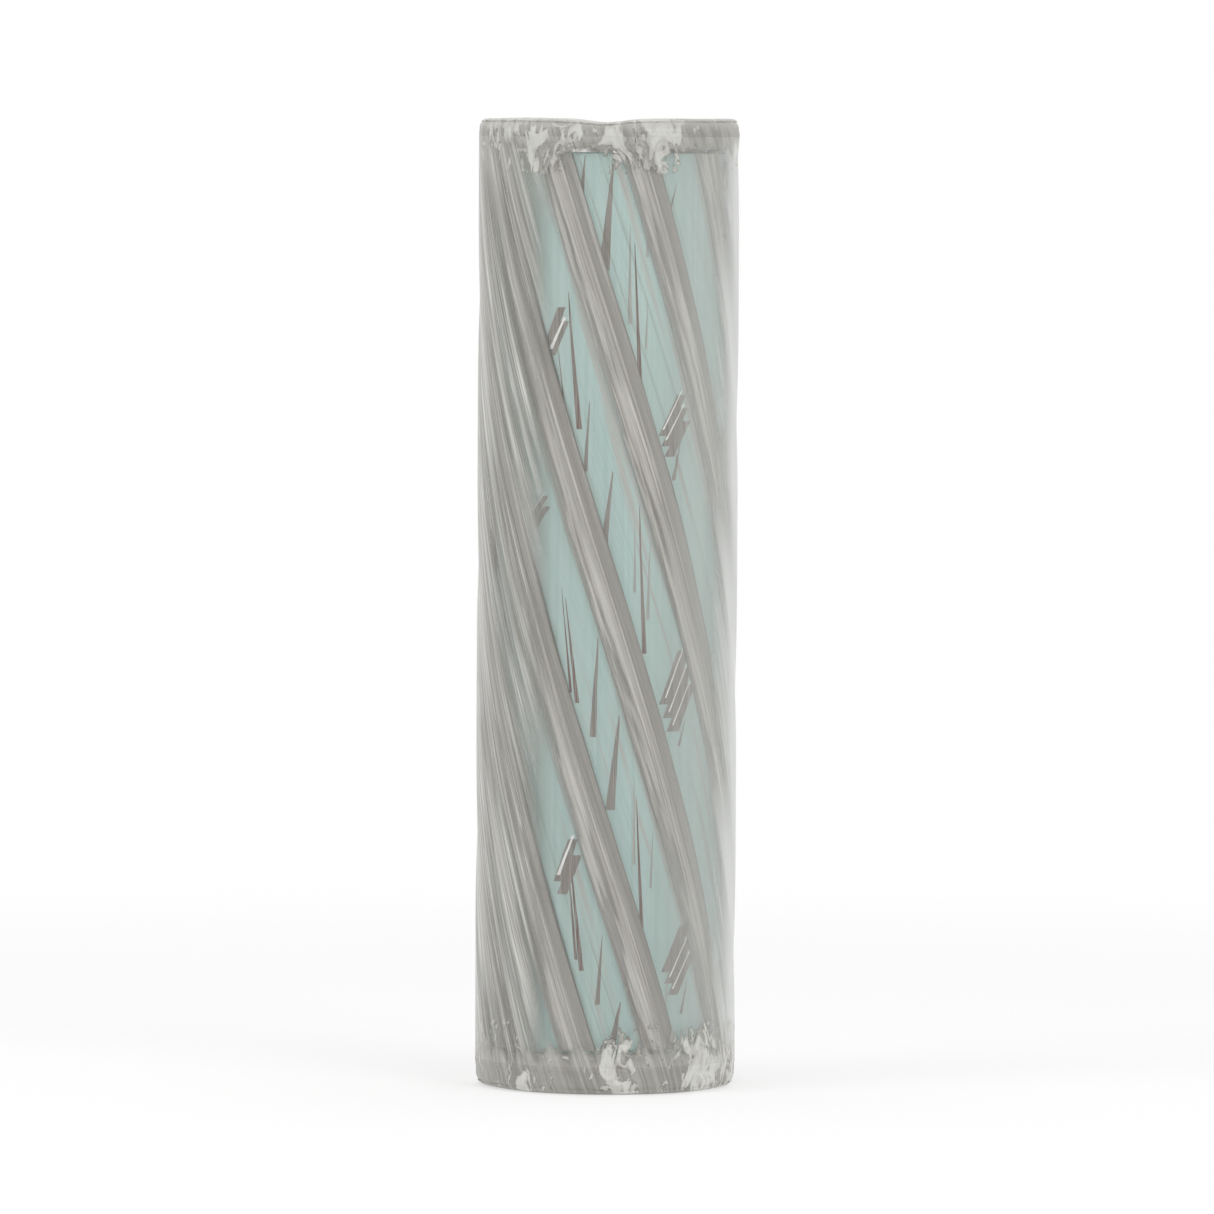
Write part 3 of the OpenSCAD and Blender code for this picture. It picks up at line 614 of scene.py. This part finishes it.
def makeMarks(finishes):
    low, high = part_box("drum_tube")
    unit = makeUnitMark()
    chance = random.Random(marks["seed"])
    made = []

    def add(topAngle, lowAngle, bottom, top, width, colour, blunt):
        bottom = max(bottom, low.z + marks["endGap"])
        top = min(top, high.z - marks["endGap"])
        if top - bottom > marks["shortest"]:
            half = marks["half"][colour]
            piece = makeMark(unit, high.x, topAngle, lowAngle, bottom, top, width, half, blunt)
            dress(piece, finishes[colour])
            made.append(piece)

    for level in marks["levels"]:
        rise = level * marks["pitch"]
        for turn in marks["turns"]:
            shift = turn + (level - 1) * marks["drift"]
            for topAngle, lowAngle, lowZ, highZ, width, colour in marks["spikes"]:
                stray = chance.uniform(-1, 1) * marks["stray"]
                size = chance.uniform(*marks["spikeSize"])
                bottom = (lowZ + stray) / 1000 + rise
                top = (lowZ + size * (highZ - lowZ)) / 1000 + rise
                add(topAngle + shift + stray, lowAngle + shift + stray, bottom, top,
                    width * size / 1000, colour, marks["spikeBlunt"])
            for topAngle, lowAngle, lowZ, highZ, width, colour, strokes, paleWidth in marks["hatches"]:
                stray = chance.uniform(-1, 1) * marks["stray"]
                size = chance.uniform(*marks["hatchSize"])
                if chance.random() < marks["skip"]:
                    continue
                for stroke in range(strokes):
                    drop = stroke * marks["step"] * size
                    slide = shift + stray + math.degrees(2 * math.pi * drop / spiral["lead"])
                    bottom = lowZ / 1000 + rise - drop
                    top = bottom + (highZ - lowZ) / 1000 * size - drop * marks["strokeShrink"]
                    ends = topAngle + slide, lowAngle + slide
                    add(*ends, bottom, top, width * size / 1000, colour, marks["strokeBlunt"])
                    if chance.random() > marks["skip"]:
                        lift = marks["paleLift"] * marks["step"]
                        paleTop = top + marks["paleTop"] * lift
                        add(*ends, bottom + lift, paleTop, paleWidth / 1000, "white", marks["paleBlunt"])
    bpy.data.objects.remove(unit)
    return made


def makeMarkFinish(name):
    material, tree = newMaterial(name + "Mark")
    place = placeRound(tree)
    fine = streaksOn(tree, place, 90.0, 12.0, 2.0, 0.42, 0.60)
    shade = mixColour(tree, calc(tree, "MULTIPLY", fine["Mask"], 0.3), marks[name], drum["film"])
    body = put(tree, "BsdfPrincipled", {"Base Color": shade, "Roughness": marks["roughness"]}).outputs[0]
    showShader(tree, body)
    return material


def makeDrumFinish():
    material, tree = newMaterial("drumAqua")
    place = placeRound(tree)
    fine = streaksOn(tree, place, 30.0, 2.0, 1.0, 0.4, 0.62)
    broad = streaksOn(tree, place, 7.0, 4.0, 5.0, 0.35, 0.65)
    deep = mixColour(tree, fine["Mask"], drum["aqua"], drum["aquaDeep"])
    colour = mixColour(tree, calc(tree, "MULTIPLY", broad["Mask"], 0.6), deep, drum["aquaPale"])
    # a pale film trails off from each band
    turned = placeRound(tree, 1 / spiral["lead"])
    across = bandPlace(tree, turned["Turn"])
    ragged = streaksOn(tree, turned, 10.0, 6.0, 7.0, 0.35, 0.75)
    reach = remap(tree, calc(tree, "POWER", ragged["Mask"], 1.8), 0.0, 1.0, 1.0, 2.6)
    film = calc(tree, "MULTIPLY", remap(tree, calc(tree, "SUBTRACT", reach, across), 0.0, 0.35), 0.8)
    colour = mixColour(tree, film, colour, drum["film"])
    bump = bumpFrom(tree, fine["Plain"], 0.15, 0.0003)
    body = put(tree, "BsdfPrincipled", {
        "Base Color": colour, "Roughness": drum["roughness"], "IOR": drum["ior"],
        "Transmission Weight": drum["clearness"], "Normal": bump}).outputs[0]
    showShader(tree, lampFriendly(tree, body, drum["lampTint"]))
    return material


tubePiece = makeDrumTube()
markFinishes = {name: makeMarkFinish(name) for name in ("brown", "dark", "grey", "white")}
dress(tubePiece, makeDrumFinish(), *markFinishes.values())
markPieces = makeMarks(markFinishes)
makeActive(tubePiece)
for piece in markPieces:
    piece.select_set(True)
bpy.ops.object.join()
finishPiece(tubePiece, "drum", "drum_aqua", "drum_tube")
print("drum tube ready, with", len(markPieces), "marks")


band = {
    # where each ridge starts across the band, how deep the cut before it is, how low its peak lies
    "ridges": [(0.0, 0.0013, 0.0), (0.35, 0.0012, 0.0001), (0.46, 0.0007, 0.0004), (0.60, 0.0010, 0.0003),
               (0.80, 0.0008, 0.0006)],
    "lastCut": 0.0015, "peakPlace": 0.38, "thick": 0.00305, "innerSteps": 5, "round": 0.00012,
    "steps": 110, "wobble": math.radians(0.55), "smallWobble": 0.6 * math.radians(0.55),
    "roughness": 0.22, "ior": 1.49,
    # dark and brown paint shade on each band's leading side, brown also the fine dark lines; white paints
    # highlight lines
    "pale": (0.57, 0.565, 0.54, 1), "plain": (0.42, 0.415, 0.385, 1), "dark": (0.285, 0.28, 0.255, 1),
    "brown": (0.12, 0.105, 0.08, 1), "white": (0.92, 0.92, 0.90, 1),
}


def bandOutline(outer):
    inner = outer - band["thick"]
    points = []
    starts = [ridge[0] for ridge in band["ridges"]] + [1.0]
    for (start, depth, drop), after in zip(band["ridges"], starts[1:]):
        points.append((outer - depth, start))
        points.append((outer - drop, start + band["peakPlace"] * (after - start)))
    points.append((outer - band["lastCut"], 1.0))
    for step in range(band["innerSteps"] + 1):
        points.append((inner, 1.0 - step / band["innerSteps"]))
    return points


def makeBand():
    low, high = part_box("spiral_band_1")
    outer = max(radiusOf(vertex.co) for vertex in nodes["spiral_band_1"].data.vertices)
    points = bandOutline(outer)
    clearSelection()
    bpy.ops.mesh.primitive_circle_add(
        vertices=len(points), radius=outer, fill_type="NGON", location=(0, 0, low.z))
    piece = bpy.context.object
    piece.name = piece.data.name = "spiral_band_ridged_1"
    applyPlace(piece)
    for vertex, (radius, across) in zip(piece.data.vertices, points):
        angle = spiral["start"] - across * spiral["width"]
        vertex.co = (radius * math.cos(angle), radius * math.sin(angle), low.z)
    makeActive(piece)
    bpy.ops.object.mode_set(mode="EDIT")
    bpy.ops.mesh.select_all(action="SELECT")
    bpy.ops.mesh.bevel(offset=band["round"], segments=2, affect="VERTICES")
    bpy.ops.mesh.select_all(action="SELECT")
    bpy.ops.mesh.extrude_region_move(TRANSFORM_OT_translate={"value": (0, 0, high.z - low.z)})
    selectEdges(piece, upright)
    bpy.ops.mesh.subdivide(number_cuts=band["steps"])
    fixNormals(piece)
    return piece, high.z - low.z


def wobble(piece, seed):
    for vertex in piece.data.vertices:
        place = vertex.co
        angle = math.atan2(place.y, place.x)
        shift = band["wobble"] * noise.noise(Vector((angle * 9, place.z * 11, seed * 5.3)))
        shift += band["smallWobble"] * noise.noise(Vector((angle * 22, place.z * 24, seed * 3.1)))
        vertex.co = Matrix.Rotation(shift, 3, "Z") @ place


def makeBandFinish():
    material, tree = newMaterial("bandAcrylic")
    place = placeRound(tree, 1 / spiral["lead"])
    across = bandPlace(tree, place["Turn"])
    broad = streaksOn(tree, place, 34.0, 5.0, 2.0, 0.35, 0.65)
    dark = streaksOn(tree, place, 32.0, 3.0, 4.0, 0.64, 0.68)
    white = streaksOn(tree, place, 30.0, 3.0, 9.0, 0.66, 0.70)
    come = streaksOn(tree, place, 14.0, 14.0, 31.0, 0.42, 0.56)
    # painted shade across each band: brown at the leading edge, dark on the leading side, paler towards the
    # trailing side
    shade = ramp(tree, across, [
        (0.0, band["brown"]), (0.04, band["dark"]), (0.32, band["dark"]), (0.36, band["pale"]),
        (0.42, band["plain"]), (0.54, band["plain"]), (0.62, band["pale"]), (1.0, band["pale"])])
    shade = mixColour(tree, calc(tree, "MULTIPLY", broad["Mask"], 0.25), shade, band["pale"])
    # fine lines, few of them on the dark leading side with its painted shade; the white ones are painted
    # highlights
    leading = remap(tree, across, 0.24, 0.38, 0.1, 0.9)
    busy = calc(tree, "MULTIPLY", leading, remap(tree, across, 0.6, 0.8, 1.0, 0.35))
    darkLine = calc(tree, "MULTIPLY", calc(tree, "MAXIMUM", dark["Line"], dark["Mask"]), busy)
    highlightLine = calc(tree, "MULTIPLY", calc(tree, "MULTIPLY", white["Line"], come["Mask"]), busy)
    shade = mixColour(tree, calc(tree, "MULTIPLY", darkLine, 0.45), shade, band["brown"])
    shade = mixColour(tree, calc(tree, "MULTIPLY", highlightLine, 0.55), shade, band["white"])
    # the trailing side thins out, further in at some heights than at others
    reach = remap(tree, come["Plain"], 0.35, 0.65, 0.55, 0.95)
    edge = remap(tree, calc(tree, "SUBTRACT", across, reach), -0.1, 0.2, 0.97, 0.3, "SMOOTHSTEP")
    cover = calc(tree, "MAXIMUM", edge, calc(tree, "MULTIPLY", darkLine, 0.7))
    bump = bumpFrom(tree, dark["Plain"], 0.3, 0.0004)
    body = put(tree, "BsdfPrincipled", {
        "Base Color": shade, "Roughness": band["roughness"], "IOR": band["ior"], "Alpha": cover,
        "Normal": bump}).outputs[0]
    showShader(tree, body)
    return material


firstBand, bandHeight = makeBand()
bandFinish = makeBandFinish()
bandPieces = [firstBand]
for index in range(1, spiral["count"]):
    copied = firstBand.copy()
    copied.data = firstBand.data.copy()
    copied.name = copied.data.name = f"spiral_band_ridged_{index + 1}"
    copied.data.transform(Matrix.Rotation(spiral["pitch"] * index, 4, "Z"))
    bpy.context.scene.collection.objects.link(copied)
    bandPieces.append(copied)
for index, piece in enumerate(bandPieces):
    wobble(piece, index)
    twist(piece, bandHeight)
    smooth(piece, 28)
    dress(piece, bandFinish)
    finishPiece(piece, "drum", "spiral_band", f"spiral_band_{index + 1}")
print("spiral bands ready:", len(bandPieces))


diffuser = {
    "wall": 0.0025, "segments": 128, "steps": 1, "rim": 0.0005,
    "frost": (0.80, 0.90, 0.88, 1), "frostDeep": (0.68, 0.80, 0.79, 1),
    "glow": (0.72, 0.92, 0.88, 1), "glowStrength": 0.12,
}


def makeDiffuser():
    low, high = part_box("diffuser_tube")
    outer = high.x
    tube = makeTube("diffuser_frosted", outer, outer - diffuser["wall"], low.z, high.z,
                    diffuser["segments"], diffuser["rim"], diffuser["steps"])
    smooth(tube, 50)
    return tube


def makeDiffuserFinish():
    material, tree = newMaterial("frostedDiffuser")
    place = placeRound(tree)
    soft = streaksOn(tree, place, 12.0, 5.0, 6.0, 0.35, 0.65)
    grain = useGroup(tree, surfaceGrain, {"Vector": objectPlace(tree), "Size": 0.0012, "Smudge size": 0.03})
    softShare = calc(tree, "MULTIPLY", soft["Mask"], 0.35)
    colour = mixColour(tree, softShare, diffuser["frost"], diffuser["frostDeep"])
    rough = remap(tree, grain["Smudge"], 0.0, 1.0, 0.45, 0.62)
    bump = bumpFrom(tree, grain["Fine"], 0.12, 0.0002)
    body = put(tree, "BsdfPrincipled", {
        "Base Color": colour, "Roughness": rough, "Normal": bump,
        "Emission Color": diffuser["glow"], "Emission Strength": diffuser["glowStrength"]}).outputs[0]
    showShader(tree, body)
    return material


diffuserPiece = makeDiffuser()
dress(diffuserPiece, makeDiffuserFinish())
finishPiece(diffuserPiece, "case", "diffuser", "diffuser_tube")
print("diffuser ready")


def mergedCopy(node, name):
    piece = nodes[node].copy()
    piece.data = nodes[node].data.copy()
    piece.parent = None
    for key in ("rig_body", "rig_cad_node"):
        if key in piece:
            del piece[key]
    piece.name = piece.data.name = name
    bpy.context.scene.collection.objects.link(piece)
    makeActive(piece)
    bpy.ops.object.mode_set(mode="EDIT")
    bpy.ops.mesh.select_all(action="SELECT")
    bpy.ops.mesh.remove_doubles(threshold=tiny / 2)
    bpy.ops.object.mode_set(mode="OBJECT")
    return piece


def remesh(piece, size):
    modifier = piece.modifiers.new("remesh", "REMESH")
    modifier.mode = "VOXEL"
    modifier.voxel_size = size
    applyAll(piece)


def crumpleAt(place, seed):
    # 0 to 1, larger in the creases between flat facets
    scaled = place / ice["cell"] + Vector((seed, seed * 2.0, 0))
    distances = noise.voronoi(scaled)[0]
    crease = 1 - min(1.0, (distances[1] - distances[0]) * 2.2)
    swell = 0.5 + 0.5 * noise.noise(scaled * 0.45)
    fine = 0.5 + 0.5 * noise.noise(scaled * 2.6)
    return min(1.0, 0.5 * crease + 0.35 * swell + 0.25 * fine)


def roundCorner(place, bounds, radius):
    # only the outer corner at the object's own end is round, the one further from its middle
    low, high = bounds
    middle = (cadSize[0][2] + cadSize[1][2]) / 2
    depth = (high.z - place.z) if high.z > middle else (place.z - low.z)
    corner = ice["corner"]
    if depth >= corner:
        return radius
    limit = high.x - corner + math.sqrt(max(0.0, corner ** 2 - (corner - depth) ** 2))
    return min(radius, limit)


def crumple(piece, bounds, seed):
    joints = [corner.z for node in ("base_gasket", "top_gasket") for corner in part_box(node)]
    for vertex in piece.data.vertices:
        place = vertex.co
        radius = radiusOf(place)
        if radius > ice["keepRadius"]:
            fromJoint = min(abs(place.z - joint) for joint in joints)
            amount = ice["depth"] * crumpleAt(place, seed) * min(1.0, fromJoint / ice["jointFade"])
            share = (roundCorner(place, bounds, min(radius, bounds[1].x)) - amount) / radius
            place.x *= share
            place.y *= share


def makeBase():
    piece = mergedCopy("base_block", "base_block_ice")
    remesh(piece, ice["voxel"])
    crumple(piece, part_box("base_block"), ice["baseSeed"])
    smooth(piece, 40)
    return piece


def makeCap():
    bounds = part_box("top_cap")
    piece = mergedCopy("top_cap", "top_cap_ice")
    remesh(piece, ice["voxel"])
    crumple(piece, bounds, ice["capSeed"])
    for vertex in piece.data.vertices:
        place = vertex.co
        share = max(0.0, (place.z - bounds[1].z) / ice["waveReach"] + 1)
        dip = ice["dipDepth"] * math.exp(-((place.x - ice["dipPlace"]) / ice["dipWidth"]) ** 2)
        swell = noise.noise(Vector((place.x * 30 + 0.4, place.y * 12, 2.0)))
        wave = ice["waveDepth"] * (0.5 + 0.5 * swell)
        place.z -= share * (dip + wave + 0.3 * ice["depth"] * crumpleAt(place, ice["topSeed"]))
    smooth(piece, 40)
    return piece


def makeRing(node):
    low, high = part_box(node)
    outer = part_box("glass_cylinder")[1].x - ice["ringGap"]
    inner = outer - glass["wall"] + 2 * ice["ringGap"]
    # reaches a little way over the round edge of the end block beside it
    if node == "top_gasket":
        lowZ, highZ = low.z, high.z + ice["ringReach"]
    else:
        lowZ, highZ = low.z - ice["ringReach"], high.z
    ring = makeTube(node + "_clear", outer, inner, lowZ, highZ, glass["segments"], ice["ringGap"], 1)
    for vertex in ring.data.vertices:
        # the lower one stays clear of the inlet and the switch in the back
        place = vertex.co
        if place.z < low.z and place.y > 0:
            share = (ice["flatHalf"] - abs(place.x)) / ice["flatFade"]
            place.z += ice["ringReach"] * min(1.0, max(0.0, share))
    smooth(ring, 50)
    return ring


def makeIceFinish():
    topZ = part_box("top_cap")[1].z
    material, tree = newMaterial("iceAcrylic")
    height = put(tree, "SeparateXYZ", {0: objectPlace(tree)}).outputs[2]
    shade, patch, relief = endShade(tree, ice["patches"])
    # the flat top is plain and pale
    onTop = remap(tree, height, topZ - ice["topFrom"], topZ - ice["topTo"])
    shade = mixColour(tree, calc(tree, "MULTIPLY", onTop, ice["topPale"]), shade, ice["cream"])
    bump = bumpFrom(tree, relief, 0.5, 0.0008)
    solid = put(tree, "BsdfPrincipled", {
        "Base Color": shade, "Roughness": ice["roughness"], "Normal": bump}).outputs[0]
    clear = put(tree, "BsdfPrincipled", {
        "Base Color": ice["clearTint"], "Roughness": ice["clearRoughness"], "IOR": ice["ior"],
        "Transmission Weight": 1.0, "Normal": bump}).outputs[0]
    body = put(tree, "MixShader", {
        0: remap(tree, patch, 0.0, 1.0, ice["solidShare"], 1.0), 1: clear, 2: solid}).outputs[0]
    showShader(tree, lampFriendly(tree, body, ice["lampTint"]))
    return material


iceFinish = makeIceFinish()
basePiece = makeBase()
capPiece = makeCap()
for piece, replaced in ((basePiece, "base_block"), (capPiece, "top_cap")):
    dress(piece, iceFinish)
    piece.hide_render = False
    piece.hide_viewport = False
    finishPiece(piece, "case", "ice_acrylic", replaced)
for node in ("base_gasket", "top_gasket"):
    ring = makeRing(node)
    dress(ring, iceFinish)
    finishPiece(ring, "case", "gasket", node)
print("base block, top cap and their gaskets ready")


# finishes for the pieces that keep their CAD shape
def metalFinish(name, colour, roughness, direction, tarnish=(0.30, 0.27, 0.24, 1)):
    material, tree = newMaterial(name)
    place = objectPlace(tree)
    grain = useGroup(tree, surfaceGrain, {"Vector": place, "Size": 0.0009, "Smudge size": 0.012})
    brushed = put(tree, "Mapping", {"Vector": place, "Scale": direction}).outputs[0]
    lines = put(tree, "TexNoise", {"Vector": brushed, "Scale": 1.0, "Detail": 4.0}).outputs[0]
    shade = mixColour(tree, remap(tree, lines, 0.3, 0.7, 0.0, 0.35), colour, (0.92, 0.92, 0.93, 1))
    shade = mixColour(tree, calc(tree, "MULTIPLY", grain["Smudge"], 0.25), shade, tarnish)
    rough = remap(tree, lines, 0.3, 0.7, roughness - 0.06, roughness + 0.10)
    bump = bumpFrom(tree, lines, 0.2, 0.0001)
    body = put(tree, "BsdfPrincipled", {
        "Base Color": shade, "Metallic": 1.0, "Roughness": rough, "Normal": bump}).outputs[0]
    showShader(tree, body)
    return material


def plasticFinish(name, colour, roughness, worn, bumpSize=0.0008, strength=0.25):
    material, tree = newMaterial(name)
    place = objectPlace(tree)
    grain = useGroup(tree, surfaceGrain, {"Vector": place, "Size": bumpSize, "Smudge size": 0.015})
    shade = mixColour(tree, calc(tree, "MULTIPLY", grain["Smudge"], 0.3), colour, worn)
    shade = mixColour(tree, calc(tree, "MULTIPLY", grain["Scratch"], 0.25), shade, worn)
    rough = remap(tree, grain["Smudge"], 0.0, 1.0, roughness, min(1.0, roughness + 0.18))
    bump = bumpFrom(tree, grain["Fine"], strength, 0.0001)
    body = put(tree, "BsdfPrincipled", {"Base Color": shade, "Roughness": rough, "Normal": bump}).outputs[0]
    showShader(tree, body)
    return material


def boardFinish(name, mask, track, pitch):
    material, tree = newMaterial(name)
    place = objectPlace(tree)
    weave = put(tree, "TexBrick", {
        "Vector": place, "Scale": 1.0, "Mortar Size": 0.00025, "Brick Width": pitch,
        "Row Height": pitch * 0.6, "Color1": mask, "Color2": mask, "Mortar": track}).outputs["Color"]
    grain = useGroup(tree, surfaceGrain, {"Vector": place, "Size": 0.0006, "Smudge size": 0.01})
    shade = mixColour(tree, calc(tree, "MULTIPLY", grain["Smudge"], 0.15), weave, track)
    bump = bumpFrom(tree, grain["Fine"], 0.15, 0.0001)
    body = put(tree, "BsdfPrincipled", {"Base Color": shade, "Roughness": 0.35, "Normal": bump}).outputs[0]
    showShader(tree, body)
    return material


def chipFinish():
    material, tree = newMaterial("phosphorChip")
    place = objectPlace(tree)
    grain = useGroup(tree, surfaceGrain, {"Vector": place, "Size": 0.0004, "Smudge size": 0.003})
    shade = mixColour(tree, grain["Smudge"], (0.90, 0.82, 0.42, 1), (0.95, 0.90, 0.62, 1))
    body = put(tree, "BsdfPrincipled", {
        "Base Color": shade, "Roughness": 0.45, "Emission Color": (1.0, 0.97, 0.88, 1),
        "Emission Strength": 0.6}).outputs[0]
    showShader(tree, body)
    return material


def clearDiscFinish():
    material, tree = newMaterial("clearDisc")
    place = objectPlace(tree)
    grain = useGroup(tree, surfaceGrain, {"Vector": place, "Size": 0.001, "Smudge size": 0.03})
    tint = mixColour(tree, grain["Smudge"], (0.86, 0.93, 0.92, 1), (0.80, 0.88, 0.87, 1))
    rough = remap(tree, grain["Smudge"], 0.0, 1.0, 0.02, 0.10)
    body = put(tree, "BsdfPrincipled", {
        "Base Color": tint, "Roughness": rough, "IOR": 1.49, "Transmission Weight": 1.0}).outputs[0]
    showShader(tree, lampFriendly(tree, body, (0.88, 0.93, 0.92, 1)))
    return material


steel = metalFinish("brushedSteel", (0.60, 0.60, 0.61, 1), 0.30, (900, 90, 90))
aluminium = metalFinish("satinAluminium", (0.74, 0.75, 0.76, 1), 0.38, (700, 700, 40))
gearSteel = metalFinish("gearSteel", (0.50, 0.50, 0.51, 1), 0.34, (60, 60, 1200))
motorSteel = metalFinish("motorSteel", (0.42, 0.42, 0.44, 1), 0.40, (60, 60, 900))
brass = metalFinish("brass", (0.78, 0.58, 0.28, 1), 0.28, (600, 600, 60), (0.32, 0.20, 0.10, 1))
paleAluminium = metalFinish("paleAluminium", (0.82, 0.86, 0.86, 1), 0.45, (60, 60, 900), (0.5, 0.56, 0.56, 1))
silicone = plasticFinish("silicone", (0.62, 0.61, 0.58, 1), 0.40, (0.48, 0.46, 0.43, 1))
rubber = plasticFinish("footRubber", (0.42, 0.41, 0.40, 1), 0.75, (0.55, 0.54, 0.52, 1), 0.0006, 0.5)
nylon = plasticFinish("nylon", (0.76, 0.77, 0.75, 1), 0.42, (0.62, 0.62, 0.59, 1))
blackPlastic = plasticFinish(
    "blackPlastic", (0.025, 0.025, 0.027, 1), 0.38, (0.08, 0.08, 0.08, 1), 0.0005, 0.4)
buttonPlastic = plasticFinish("buttonPlastic", (0.62, 0.62, 0.60, 1), 0.35, (0.46, 0.45, 0.43, 1), 0.0004)
leadBlack = plasticFinish("leadBlack", (0.03, 0.03, 0.03, 1), 0.55, (0.09, 0.09, 0.09, 1))
leadRed = plasticFinish("leadRed", (0.40, 0.04, 0.03, 1), 0.50, (0.25, 0.05, 0.04, 1))
leadWhite = plasticFinish("leadWhite", (0.72, 0.72, 0.68, 1), 0.50, (0.55, 0.54, 0.50, 1))
leadBlue = plasticFinish("leadBlue", (0.04, 0.07, 0.35, 1), 0.50, (0.06, 0.08, 0.22, 1))
lampBoard = boardFinish("lampBoard", (0.84, 0.85, 0.82, 1), (0.70, 0.66, 0.52, 1), 0.016)
driverGreen = boardFinish("driverGreen", (0.02, 0.16, 0.07, 1), (0.06, 0.30, 0.14, 1), 0.009)
phosphor = chipFinish()
clearDisc = clearDiscFinish()

lampRows = range(1, 5)
finishes = (
    (steel, ["base_plate", "base_plate_screws", "core_screws", "post_screws", "standoff_screws",
             "plate_screws", "motor_screws", "motor_shaft", "hub_screws"]),
    (aluminium, ["core_flange", "core_post", "post_cap"]), (paleAluminium, ["motor_plate", "drum_hub"]),
    (gearSteel, ["gear_housing", "hub_grub_screw"]), (motorSteel, ["motor_can"]),
    (brass, ["standoffs", "inlet_pin"]), (silicone, ["top_seal"]), (rubber, ["foot_ring"]),
    (nylon, ["guide_ring", "thrust_washer"]), (blackPlastic, ["driver_parts", "inlet_socket", "switch_body"]),
    (buttonPlastic, ["switch_button"]), (leadBlack, ["power_lead"]), (leadRed, ["switch_lead"]),
    (leadWhite, ["led_leads"]), (leadBlue, ["motor_lead"]), (driverGreen, ["driver_board"]),
    (lampBoard, [f"led_board_{row}" for row in lampRows]),
    (phosphor, [f"led_chips_{row}" for row in lampRows]),
    (clearDisc, ["drum_top_disc", "drum_bottom_ring"]),
)
for finish, names in finishes:
    for name in names:
        dress(nodes[name], finish)
print("finishes given to", sum(len(names) for finish, names in finishes), "CAD pieces")


stage = {
    "floorRadius": 4.0, "fadeFrom": 0.55, "fadeTo": 1.6, "floorShade": 0.5, "worldLevel": 0.66,
    # name, place, what it points at, size, watts
    "lamps": [("left_soft", (-2.3, -1.3, 1.9), (0, 0, 0.3), 1.4, 17),
              ("front_fill", (1.9, -2.4, 2.0), (0, 0, 0.28), 1.6, 26),
              ("top_soft", (0, 0.2, 2.4), (0, 0, 0.3), 1.6, 10)],
    "cameraPlace": (0, -5.9, 0.57), "lens": 303.8, "aimDrop": 0.0032, "roll": math.radians(0.29),
}


def makeFloor():
    clearSelection()
    bpy.ops.mesh.primitive_circle_add(vertices=96, radius=stage["floorRadius"], fill_type="NGON")
    floor = bpy.context.object
    floor.name = "studio_floor"
    material, tree = newMaterial("paleFloor")
    spread = put(tree, "VectorMath", {0: objectPlace(tree)}, operation="LENGTH").outputs["Value"]
    fade = remap(tree, spread, stage["fadeFrom"], stage["fadeTo"], 0.0, 1.0, "SMOOTHSTEP")
    level = stage["floorShade"]
    matt = put(tree, "BsdfDiffuse", {0: (level, level, level, 1)}).outputs[0]
    lift = put(tree, "Emission", {0: (1, 1, 1, 1), 1: 1 - level}).outputs[0]
    pale = put(tree, "AddShader", {0: matt, 1: lift}).outputs[0]
    clear = put(tree, "BsdfTransparent").outputs[0]
    showShader(tree, put(tree, "MixShader", {0: fade, 1: pale, 2: clear}).outputs[0])
    dress(floor, material)


def makeWorld():
    world = bpy.data.worlds.new("softStudio")
    world.use_nodes = True
    bpy.context.scene.world = world
    tree = world.node_tree
    tree.nodes.clear()
    path = put(tree, "LightPath").outputs
    seen = calc(tree, "MAXIMUM", path["Is Camera Ray"],
                calc(tree, "MAXIMUM", path["Is Glossy Ray"], path["Is Transmission Ray"]))
    strength = remap(tree, seen, 0.0, 1.0, stage["worldLevel"], 1.0)
    background = put(tree, "Background", {0: (1, 1, 1, 1), 1: strength}).outputs[0]
    put(tree, "OutputWorld", {"Surface": background})


def makeLamp(name, place, target, size, power):
    data = bpy.data.lights.new(name, "AREA")
    data.size = size
    data.energy = power
    lamp = bpy.data.objects.new(name, data)
    bpy.context.scene.collection.objects.link(lamp)
    lamp.location = place
    lamp.rotation_euler = (Vector(target) - Vector(place)).to_track_quat("-Z", "Y").to_euler()


def makeCamera():
    target = Vector((0, 0, (cadSize[0][2] + cadSize[1][2]) / 2 - stage["aimDrop"]))
    place = Vector(stage["cameraPlace"])
    data = bpy.data.cameras.new("camera")
    data.sensor_width = 36
    data.lens = stage["lens"]
    camera = bpy.data.objects.new("camera", data)
    bpy.context.scene.collection.objects.link(camera)
    camera.location = place
    look = (target - place).to_track_quat("-Z", "Y").to_matrix().to_4x4()
    camera.rotation_euler = (look @ Matrix.Rotation(stage["roll"], 4, "Z")).to_euler()
    bpy.context.scene.camera = camera


makeFloor()
makeWorld()
for lamp in stage["lamps"]:
    makeLamp(*lamp)
makeCamera()
scene = bpy.context.scene
scene.view_settings.view_transform = "Standard"
scene.cycles.transparent_max_bounces = 32
scene.cycles.max_bounces = 20
scene.cycles.transmission_bounces = 20
print("floor, light and camera ready")
